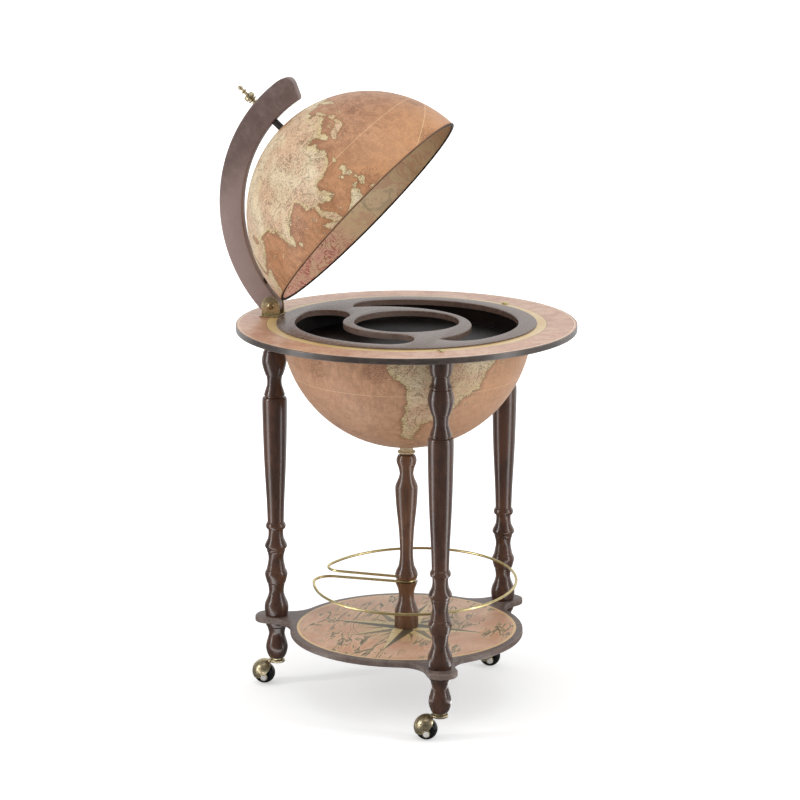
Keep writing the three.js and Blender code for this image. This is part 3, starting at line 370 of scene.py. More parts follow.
for low, high in ((0.0885, 0.0897), (0.094, 0.0946), (0.0425, 0.0436)):
    printed = coated(printed, (band(out, low, high), 0.75, (112, 92, 62)))
printed = coated(printed, (band(out, 0.1795, 0.2), 1, (226, 192, 142)))
grain = placed(wood_grain, own, 260, 14)
lacquer = coated(blended(grain["Streak"], (84, 70, 66), (100, 84, 80)),
                 (placed(edge_wear, own, 0.53)[0], 0.5, (150, 133, 122)))
print_side = print_radius / 1000
on_top = times(between(flat[2], -0.0004, -0.0001), between(out, print_side + 0.0002, print_side - 0.0002))
feed(shader, {
    "Base Color": blended(on_top, lacquer, printed),
    "Roughness": varied(sheet["Fibre"], 0.2, 0.34),
    "Specular IOR Level": 0.3,
    "Coat Weight": 0.1,
    "Coat Roughness": 0.25,
    "Normal": bumped(varied(on_top, 0.6, times(sheet["Fibre"], 0.1)), 0.0002),
})

blend_side = tongue_half + tongue_blend
blend_out = math.sqrt((shelf_radius + tongue_blend) ** 2 - blend_side ** 2)
blend_angle = math.atan2(blend_side, blend_out)
corner_out = leg_circle + tongue_reach - tongue_corner
corner_side = tongue_half - tongue_corner
between_legs = math.tau / 3
tongue = joined(
    swing(0, 0, shelf_radius, blend_angle - between_legs, -blend_angle),
    swing(blend_out, -blend_side, tongue_blend, math.pi - blend_angle, math.pi / 2),
    swing(corner_out, -corner_side, tongue_corner, -math.pi / 2, 0),
    swing(corner_out, corner_side, tongue_corner, 0, math.pi / 2),
    swing(blend_out, blend_side, tongue_blend, -math.pi / 2, blend_angle - math.pi),
)


def turned_by(points, angle):
    """An outline turned about the axis."""
    c, s = math.cos(angle), math.sin(angle)
    return [(x * c - y * s, x * s + y * c) for x, y in points]


leg_spots = {name: polar(leg_circle, math.radians(a)) for name, a in leg_angles.items()}
shelf_loops = [joined(*[turned_by(tongue, math.radians(a)) for a in leg_angles.values()])]
shelf_loops += [round_loop(x, y, rod_hole) for x, y in (*leg_spots.values(), (0, 0))]
plain_side = [(0, 0), (0, shelf_thickness)]
shelf = moved(board(shelf_loops, [rounded_edge(shelf_thickness, 1.9)] + [plain_side] * 4),
              shift=(0, 0, -shelf_thickness))
fitted("shelf_board", shelf, spot(0, 0, shelf_top), "frame", "shelf_board", "shelf", shelf_finish)

# Feet and legs: turned from beech on a lathe, stained very dark brown and lacquered to a gloss.
# Each foot stands on its caster and is screwed through the shelf into its leg by a stud.

foot_bottom = 45.8
foot_height = 64.7
foot_radius = 19
leg_bottom = 121.1
leg_length = 509.4
leg_radius = 21
stem_hole = 5.8
stem_depth = 23
leg_screw_hole = 3.3
leg_stretches = [
    [(0, 0.89), (0.023, 0.962), (0.043, 0.91), (0.064, 0.705), (0.083, 0.597), (0.11, 0.676)],
    [(0.114, 0.75), (0.142, 0.91), (0.156, 0.82)],
    [(0.158, 0.77), (0.194, 0.61), (0.217, 0.68)],
    [(0.221, 0.73), (0.228, 0.745), (0.241, 0.905), (0.265, 0.657), (0.283, 0.6), (0.2965, 0.614)],
    [(0.3, 0.75), (0.309, 0.81), (0.318, 0.74)],
    [(0.321, 0.66), (0.391, 0.715), (0.545, 0.9), (0.716, 1), (0.745, 0.948)],
    [(0.748, 0.8), (0.752, 0.8)],
    [(0.754, 0.85), (0.77, 0.733), (0.786, 0.614), (0.803, 0.59), (0.818, 0.648)],
    [(0.82, 0.705), (0.8465, 0.914), (0.871, 1), (0.9, 0.852)],
    [(0.902, 0.79), (0.906, 0.79)],
    [(0.908, 0.88), (0.9225, 0.733), (0.9415, 0.69)],
    [(0.9455, 0.78), (0.965, 0.886), (1, 0.943)],
]
foot_stretches = [
    [(0, 0.637), (0.05, 0.76), (0.16, 0.9), (0.29, 0.975), (0.42, 0.91), (0.57, 0.765), (0.68, 0.705),
     (0.84, 0.83)],
    [(0.88, 0.93), (0.93, 0.97), (1, 1)],
]


def flowing(points, steps):
    """A smooth run of points through the given ones."""
    run = []
    last = len(points) - 1
    for i in range(last):
        a, b, c, d = (Vector(points[j]) for j in (max(i - 1, 0), i, i + 1, min(i + 2, last)))
        for k in range(steps):
            t = k / steps
            run.append(tuple(0.5 * (2 * b + (c - a) * t + (2 * a - 5 * b + 4 * c - d) * t * t
                                    + (3 * b - a - 3 * c + d) * t ** 3)))
    return run + [tuple(points[last])]


def eased(run, radius, closed=False, steps=3):
    """A profile with its corners rounded, and a point kept beside each so that flats stay flat."""
    out = []
    for i, here in enumerate(run):
        if not closed and i in (0, len(run) - 1):
            out.append(tuple(here))
            continue
        here = Vector(here)
        back = Vector(run[i - 1]) - here
        ahead = Vector(run[(i + 1) % len(run)]) - here
        turn = math.pi - back.angle(ahead)
        if turn < math.radians(20):
            out.append(tuple(here))
            continue
        reach = min(radius * math.tan(turn / 2), back.length * 0.4, ahead.length * 0.4)
        start = here + back.normalized() * reach
        end = here + ahead.normalized() * reach
        out.append(tuple(start + back.normalized() * min(0.4, back.length * 0.1)))
        for k in range(steps + 1):
            t = k / steps
            out.append(tuple(start * (1 - t) ** 2 + here * 2 * t * (1 - t) + end * t * t))
        out.append(tuple(end + ahead.normalized() * min(0.4, ahead.length * 0.1)))
    return out


def turning(stretches, bottom, height, radius, steps=5):
    """Profile points of a turned piece, going up."""
    runs = [[(out * radius, bottom + up * height) for up, out in stretch] for stretch in stretches]
    return [p for run in runs for p in flowing(run, steps)]


def spun(profile, sides, closed=False):
    """Points and faces of a turned piece about Z."""
    points, rows, faces = [], [], []
    for radius, height in profile:
        if radius < 1e-6:
            rows.append([len(points)] * sides)
            points.append((0, 0, height))
            continue
        rows.append([len(points) + i for i in range(sides)])
        points += [(*polar(radius, math.tau * i / sides), height) for i in range(sides)]
    for low, high in zip(rows, rows[1:] + (rows[:1] if closed else [])):
        for i in range(sides):
            face = list(dict.fromkeys((low[i - 1], low[i], high[i], high[i - 1])))
            if len(face) > 2:
                faces.append(face)
    return points, faces


def stained_beech(name, deep, light, pooled_tone, rubbed_tone):
    """Turned beech, stained and then lacquered to a satin gloss."""
    material, own, shader = begun(name)
    grain = placed(wood_grain, own, 210, 9)
    feed(shader, {
        "Base Color": coated(
            blended(grain["Streak"], deep, light),
            (grain["Pore"], 0.5, (34, 21, 17)),
            (between(noise(own, (26, 26, 12), 3, 0.6), 0.42, 0.62), 0.5, pooled_tone),
            (placed(edge_wear, own, 0.545)[0], 0.4, rubbed_tone),
        ),
        "Roughness": varied(noise(own, 38, 4, 0.6), 0.12, 0.26),
        "Specular IOR Level": 0.45,
        "Coat Weight": 0.7,
        "Coat Roughness": 0.17,
        "Coat IOR": 1.45,
        "Normal": bumped(reckon("SUBTRACT", grain["Streak"], grain["Pore"]), 0.00005),
    })
    return material


dark_wood = stained_beech("stained beech", (54, 33, 24), (76, 48, 35), (104, 68, 48), (112, 78, 58))
column_wood = stained_beech("column beech", (80, 52, 36), (100, 67, 46), (124, 86, 60), (134, 98, 72))

foot_stud_depth = 28.3
leg_stud_depth = 30.3
leg_screw_depth = 40.3
wood_sides = 72
foot_top = foot_bottom + foot_height
foot_profile = eased([
    (0, foot_bottom + stem_depth), (stem_hole, foot_bottom + stem_depth), (stem_hole, foot_bottom),
    *turning(foot_stretches, foot_bottom, foot_height, foot_radius),
    (rod_hole, foot_top), (rod_hole, foot_top - foot_stud_depth), (0, foot_top - foot_stud_depth),
], 0.5)
leg_top = leg_bottom + leg_length
leg_profile = eased([
    (0, leg_bottom + leg_stud_depth), (rod_hole, leg_bottom + leg_stud_depth), (rod_hole, leg_bottom),
    *turning(leg_stretches, leg_bottom, leg_length, leg_radius),
    (leg_screw_hole, leg_top), (leg_screw_hole, leg_top - leg_screw_depth), (0, leg_top - leg_screw_depth),
], 0.5)
for name, (x, y) in leg_spots.items():
    stand = spot(x, y, 0)
    for part, profile in (("foot", foot_profile), ("leg", leg_profile)):
        shape = spun(profile, wood_sides)
        fitted(f"turned_{part}_{name}", shape, stand, "frame", "dark_wood", f"{part}_{name}", dark_wood)
        stand = stand @ Matrix.Rotation(len(name), 4, "Z")

# Casters: each a pressed brass hood over a moulded ball wheel. The hood's stem turns in a sleeve pushed
# up into the foot, and a white cap covers the end of the wheel's axle.

caster_height = 45.5
trail_angle = math.radians(104)
trail = 21.5
wheel_radius = 18
axle_tilt = math.radians(10)
wheel_front = 12
wheel_back = 9
hood_rise = 3.5
hood_inner = 19.9
hood_outer = 20.9
hood_turn = math.radians(38)
hood_lift = math.radians(40)
hood_half = math.radians(72)
plate_base = caster_height - 2.6
horn_top = plate_base - 0.45
horn_bottom = horn_top - 4.6
stem_top = caster_height + 21
piece_gap = 0.3
ear_radius = 6.2
stem_radius = 4
axle_hole = 2.1
hub_radius = 5
hub_recess = wheel_front - 1.2
cap_radius = 4.9
sleeve_bore = 4.1
sleeve_radius = 5.5
socket_radius = 10.5

# Handling marks on metal: fine scratches, and a dull film in broad patches
handling, takes, end = effect("handling marks", ["Film Scale"], ["Scratch", "Film"])
feed(end, {
    "Scratch": between(noise(takes["Vector"], (2400, 500, 1500), 2, 0.5), 0.55, 0.75),
    "Film": between(noise(takes["Vector"], takes["Film Scale"], 4, 0.62, 0.5), 0.35, 0.7),
})


def metal(name, bright, dull, worn, roughness, film_scale, relief):
    """A metal whose film dulls it in patches and whose edges are rubbed bright."""
    material, own, shader = begun(name)
    marks = placed(handling, own, film_scale)
    feed(shader, {
        "Base Color": coated(blended(marks["Film"], bright, dull),
                             (placed(edge_wear, own, 0.54)[0], 0.7, worn)),
        "Metallic": 1.0,
        "Roughness": varied(marks["Scratch"], 0.06, varied(marks["Film"], 0.18, roughness)),
        "Normal": bumped(marks["Scratch"], relief),
    })
    return material


antique_brass = metal("antique brass", (196, 178, 140), (122, 106, 80), (226, 212, 172), 0.26, 240, 0.00003)
caster_brass = metal("caster brass", (224, 208, 172), (146, 130, 100), (236, 224, 190), 0.3, 260, 0.00004)
bright_brass = metal("bright brass", (224, 208, 152), (196, 174, 116), (240, 226, 178), 0.3, 70, 0.00001)
zinc_steel = metal(
    "zinc plated steel", (176, 178, 180), (140, 142, 140), (206, 208, 210), 0.34, 120, 0.00002)


def moulded(name, plain, clouded, roughness, grit, relief, gloss=0.5):
    """A moulded plastic with a faint clouding and a fine moulded grain."""
    material, own, shader = begun(name)
    clouds = noise(own, 45, 3, 0.6)
    lighter = tuple(min(255, part + 28) for part in clouded)
    feed(shader, {
        "Base Color": coated(blended(between(clouds, 0.35, 0.7), plain, clouded),
                             (placed(edge_wear, own, 0.55)[0], 0.4, lighter)),
        "Roughness": varied(clouds, 0.15, roughness),
        "Specular IOR Level": gloss,
        "Normal": bumped(noise(own, grit, 2, 0.5), relief),
    })
    return material


wheel_plastic = moulded("wheel plastic", (14, 13, 14), (26, 24, 26), 0.2, 900, 0.00003, 0.35)
cap_plastic = moulded("cap plastic", (212, 208, 202), (228, 225, 220), 0.3, 1200, 0.00002)
black_plastic = moulded("black plastic", (18, 17, 17), (30, 28, 27), 0.4, 1500, 0.00004)


def aimed(direction):
    """The turn that takes +Z to a direction."""
    return Vector((0, 0, 1)).rotation_difference(Vector(direction)).to_matrix().to_4x4()


def gathered(*parts):
    """Several shapes as the points and faces of one piece."""
    points, faces, flats = [], [], []
    for part in parts:
        start = len(points)
        points += list(part[0])
        faces += [tuple(i + start for i in face) for face in part[1]]
        flats += [tuple(i + start for i in face) for face in (part[2] if len(part) > 2 else ())]
    return points, faces, flats


axle = (0, math.cos(axle_tilt), -math.sin(axle_tilt))
ball_centre = (trail, 0, wheel_radius)
hood_centre = (trail, 0, wheel_radius + hood_rise)
hood_middle = (math.cos(hood_lift) * math.cos(hood_turn), math.cos(hood_lift) * math.sin(hood_turn),
               math.sin(hood_lift))
hood_edge = math.pi / 2 - hood_half
hood_at_axle = (math.sqrt(hood_outer ** 2 - (hood_rise * math.cos(axle_tilt)) ** 2)
                - hood_rise * math.sin(axle_tilt))
ear_face = hood_at_axle + 0.5
ear_back = hood_at_axle - 3.2
shell_profile = (arc_run(hood_inner, math.pi / 2, hood_edge, 24)
                 + arc_run(hood_outer, hood_edge, math.pi / 2, 24)[1:])
ear_profile = eased([(0, ear_back), (ear_radius, ear_back), (ear_radius, ear_face), (0, ear_face)], 0.5)
stem_profile = eased([
    (0, horn_bottom), (stem_radius, horn_bottom), (stem_radius, stem_top), (0, stem_top),
], 0.4)
horn_round = 13.5
horn_long = trail - horn_round / 2
horn_half = 7
horn_turn = math.asin(horn_half / horn_round)
horn_outline = joined(
    swing(0, 0, horn_round, horn_turn, math.tau - horn_turn),
    [(horn_long, -horn_half), (horn_long, horn_half)],
)


def hood_shape():
    """The hood's brass: shell, ear, horn and stem, with the horn cut back to the inside of the shell."""
    horn_board = board([horn_outline], [rounded_edge(horn_top - horn_bottom, 1.4)])
    horn = made("horn", *moved(horn_board, shift=(0, 0, horn_bottom)))
    ball_profile = arc_run(hood_inner + 0.4, -math.pi / 2, math.pi / 2, 40)
    ball = made("hood_space", *moved(spun(ball_profile, 64), shift=hood_centre))
    cut = horn.modifiers.new("inside of the hood", "BOOLEAN")
    cut.object = ball
    cut.operation = "DIFFERENCE"
    cut.solver = "EXACT"
    graph = bpy.context.evaluated_depsgraph_get()
    trimmed = bpy.data.meshes.new_from_object(horn.evaluated_get(graph))
    bare = [tuple(v.co * 1000) for v in trimmed.vertices]
    sides = [tuple(f.vertices) for f in trimmed.polygons]
    for thing in (horn, ball):
        bpy.data.objects.remove(thing)
    return gathered(
        moved(spun(shell_profile, 64), aimed(hood_middle), hood_centre),
        moved(spun(ear_profile, 48), aimed(axle), ball_centre),
        (bare, sides),
        spun(stem_profile, 32),
    )


back_angle = math.asin(wheel_back / wheel_radius)
front_angle = math.asin(wheel_front / wheel_radius)
tread = arc_run(wheel_radius, -back_angle, front_angle, 24)
boss_face = ear_back - 0.45
wheel_profile = eased([
    (axle_hole, -wheel_back), *tread, (8.5, wheel_front), (7.5, hub_recess), (hub_radius, hub_recess),
    (hub_radius, boss_face), (axle_hole, boss_face),
], 0.6, closed=True)
cap_seat = ear_face + piece_gap
cap_profile = eased([
    (0, cap_seat), (cap_radius, cap_seat), (cap_radius, cap_seat + 0.7), (cap_radius - 1.5, cap_seat + 1.5),
    (0, cap_seat + 1.6),
], 0.5)
plate_profile = eased([
    (sleeve_bore, plate_base), (socket_radius, plate_base), (socket_radius, caster_height),
    (sleeve_radius, caster_height), (sleeve_radius, stem_top), (sleeve_bore, stem_top),
], 0.5, closed=True)
socket = spun(plate_profile, 48, closed=True)
hood = hood_shape()
wheel = moved(spun(wheel_profile, 64, closed=True), aimed(axle), ball_centre)
cap = moved(spun(cap_profile, 48), aimed(axle), ball_centre)
for name, (x, y) in leg_spots.items():
    stand = spot(x, y, 0) @ Matrix.Rotation(trail_angle, 4, "Z")
    for label, shape, body, slot, node, finish in (
            ("caster_socket", socket, "frame", "antique_brass", "caster_plate", caster_brass),
            ("brass_hood", hood, f"caster_{name}", "antique_brass", "caster_hood", caster_brass),
            ("ball_wheel", wheel, f"wheel_{name}", "wheel_plastic", "caster_wheel", wheel_plastic),
            ("hub_cap", cap, f"caster_{name}", "cap_plastic", "caster_cap", cap_plastic)):
        fitted(f"{label}_{name}", shape, stand, body, slot, f"{node}_{name}", finish)

# Centre column: two turned pieces like the legs, on a tie rod from the shelf up into the globe. A pale
# boss with a disc under it carries the globe's south pole.

column_radius = 20
rail_height = shelf_top + 81.4
wire_radius = 2.25
upper_bottom = rail_height + wire_radius + piece_gap
upper_top = 421.35
lower_bottom = shelf_top + piece_gap
lower_top = rail_height - wire_radius - piece_gap
upper_stretches = [
    [(0, 0.87), (0.035, 0.945), (0.07, 0.835), (0.102, 0.67), (0.157, 0.575), (0.235, 0.55), (0.394, 0.65),
     (0.55, 0.83), (0.63, 0.905), (0.708, 0.95), (0.74, 0.935), (0.77, 0.81), (0.801, 0.67), (0.83, 0.595),
     (0.85, 0.6), (0.886, 0.685), (0.918, 0.81), (0.95, 0.85), (0.981, 0.725)],
    [(0.99, 0.5), (1, 0.5)],
]
lower_stretches = [
    [(0, 1.005), (0.25, 1.005), (0.37, 0.965), (0.485, 0.84), (0.6, 0.67), (0.715, 0.64), (0.835, 0.71),
     (0.95, 0.88), (1, 0.96)],
]
spigot_radius = 11
spigot_top = upper_bottom - piece_gap
upper_profile = eased([
    (rod_hole, upper_bottom),
    *turning(upper_stretches, upper_bottom, upper_top - upper_bottom, column_radius),
    (rod_hole, upper_top),
], 0.5, closed=True)
lower_profile = eased([
    (rod_hole, lower_bottom),
    *turning(lower_stretches, lower_bottom, lower_top - lower_bottom, column_radius),
    (spigot_radius, lower_top), (spigot_radius, spigot_top), (rod_hole, spigot_top),
], 0.5, closed=True)
for name, profile in (("column_upper", upper_profile), ("column_lower", lower_profile)):
    shape = spun(profile, wood_sides, closed=True)
    fitted(f"turned_{name}", shape, spot(0, 0, 0), "frame", "dark_wood", name, column_wood)

pale_wood, own, shader = begun("pale beech")
grain = placed(wood_grain, own, 300, 20)
feed(shader, {
    "Base Color": coated(blended(grain["Streak"], (182, 160, 124), (205, 186, 150)),
                         (grain["Pore"], 0.5, (142, 118, 84))),
    "Roughness": varied(grain["Streak"], 0.12, 0.42),
    "Normal": bumped(grain["Streak"], 0.00006),
})
boss_bottom = upper_top + piece_gap
boss_step = boss_bottom + 2.5
boss_top = 434.85
disc_radius = 15
boss_radius = 11
boss_profile = eased([
    (rod_hole, boss_bottom), (disc_radius, boss_bottom), (disc_radius, boss_step), (boss_radius, boss_step),
    (boss_radius, boss_top), (rod_hole, boss_top),
], 0.7, closed=True)
boss = spun(boss_profile, 64, closed=True)
fitted("pole_boss", boss, spot(0, 0, 0), "frame", "pale_wood", "south_boss", pale_wood)

# Bottle rail: one brass wire bent round the shelf, with its ends brought in to the column and looped
# round the spigot between the column's two pieces. Its round hangs a little askew, as bent by hand.

rail_radius = 169
rail_forward = 15
rail_slope = 0.048
loop_radius = 13.55
loop_gap = 0.011
rail_corner = 26
corner_x = loop_radius + rail_corner
corner_reach = math.sqrt((rail_radius - rail_corner) ** 2 - corner_x ** 2)
corner_y = corner_reach - rail_forward
corner_angle = math.atan2(corner_reach, corner_x)
half_rail = joined(
    swing(0, 0, loop_radius, -math.pi / 2 + loop_gap, 0),
    [(loop_radius, corner_y * i / 12) for i in range(1, 12)],
    swing(corner_x, corner_y, rail_corner, math.pi, corner_angle),
    swing(0, -rail_forward, rail_radius, corner_angle, -math.pi / 2),
)
rail_path = half_rail + [(-x, y) for x, y in reversed(half_rail[:-1])]


def bent_wire(path, radius, sides):
    """A round wire along a path, level at the spigot and higher on the right beyond it."""
    points, faces = [], []
    for i, here in enumerate(path):
        before = Vector(path[max(i - 1, 0)])
        after = Vector(path[min(i + 1, len(path) - 1)])
        way = (after - before).normalized()
        away = min(1, max(0, (math.hypot(*here) - loop_radius) / (corner_y - loop_radius)))
        rise = rail_slope * here[0] * away
        for k in range(sides):
            a = math.tau * k / sides
            points.append((here[0] - way.y * radius * math.cos(a), here[1] + way.x * radius * math.cos(a),
                           rise + radius * math.sin(a)))
    for i in range(len(path) - 1):
        low, high = i * sides, (i + 1) * sides
        faces += [(low + k, low + (k + 1) % sides, high + (k + 1) % sides, high + k) for k in range(sides)]
    end = (len(path) - 1) * sides
    return points, faces, [tuple(range(sides)), tuple(range(end + sides - 1, end - 1, -1))]


rail = bent_wire(rail_path, wire_radius, 20)
fitted("brass_rail", rail, spot(0, 0, rail_height), "frame", "bright_brass", "bottle_rail", bright_brass)

# Ring table: a round board on the legs, with a hole and a rebate for the globe. Its top is covered with
# printed paper in bands, and its edge is lacquered dark grey-brown. Screws hold it down on the legs.

ring_radius = 280
ring_thickness = 10
ring_hole = 206.3
rebate_radius = 211.3
rebate_depth = 4.1
degree = math.pi / 180
ring_finish, own, shader = begun("ring table")
out, flat = from_axis(own)
sheet = placed(paper, own, 14, 380)
around = reckon("ARCTAN2", flat[1], flat[0])
tick_mask = times(between(reckon("PINGPONG", around, degree), 0.0028, 0.0016), band(out, 0.2303, 0.2335))
ten_mask = times(between(reckon("PINGPONG", around, 5 * degree), 0.0034, 0.0022), band(out, 0.2303, 0.2375))
printed = coated(
    blended(sheet["Blotch"], (204, 152, 120), (222, 180, 148)),
    (between(noise(own, 40, 5, 0.78, 0.6), 0.44, 0.6), 0.65, (186, 124, 94)),
    (between(noise(own, 520, 3, 0.8), 0.52, 0.68), 0.6, (146, 98, 72)),
    (sheet["Fleck"], 0.25, (140, 98, 76)),
)
gold = blended(sheet["Blotch"], (218, 182, 118), (232, 204, 146))
printed = coated(
    blended(band(out, 0.2, 0.2295), printed, gold),
    (band(out, 0.2295, 0.2303), 1, (120, 92, 66)),
    (band(out, 0.2745, 0.2765), 1, (231, 204, 172)),
    (reckon("MAXIMUM", tick_mask, ten_mask), 0.55, (128, 88, 66)),
)
clouds = between(noise(own, (30, 30, 120), 3, 0.6), 0.35, 0.7)
lacquer = coated(blended(clouds, (58, 50, 46), (74, 64, 58)),
                 (placed(edge_wear, own, 0.53)[0], 0.5, (138, 124, 116)))
on_top = times(between(flat[2], -0.0005, -0.0002), between(out, 0.2787, 0.2783))
feed(shader, {
    "Base Color": blended(on_top, lacquer, printed),
    "Roughness": varied(sheet["Fibre"], 0.18, 0.3),
    "Coat Weight": 0.3,
    "Coat Roughness": 0.16,
    "Normal": bumped(varied(on_top, 0.5, times(sheet["Fibre"], 0.12)), 0.00015),
})
ring_profile = eased([
    (ring_hole, -ring_thickness), (ring_radius, -ring_thickness), (ring_radius, 0), (rebate_radius, 0),
    (rebate_radius, -rebate_depth), (ring_hole, -rebate_depth),
], 1.3, closed=True, steps=5)
ring = spun(ring_profile, 256, closed=True)
fitted("printed_ring", ring, spot(0, 0, ring_top), "frame", "printed_board", "ring_table", ring_finish)


def domed_screw(head, height, shank, length):
    """A screw with a domed head on its seat and its plain shank below."""
    dome = [(out, up * height / head) for out, up in arc_run(head, 0, math.pi / 2, 8)]
    return spun([(0, -length), (shank, -length), (shank, -0.2), (head - 0.3, 0), *dome], 40)


for name in ("front_left", "front_right"):
    screw_place = spot(*leg_spots[name], ring_top + piece_gap)
    fitted(f"ring_screw_{name}", domed_screw(6, 3, 3, 50.3), screw_place, "frame", "bright_brass",
           f"leg_screw_{name}", bright_brass)

# Lower half of the globe: a thin moulded shell covered with a printed map in the colours of old paper,
# hung by its lip in the ring's rebate.

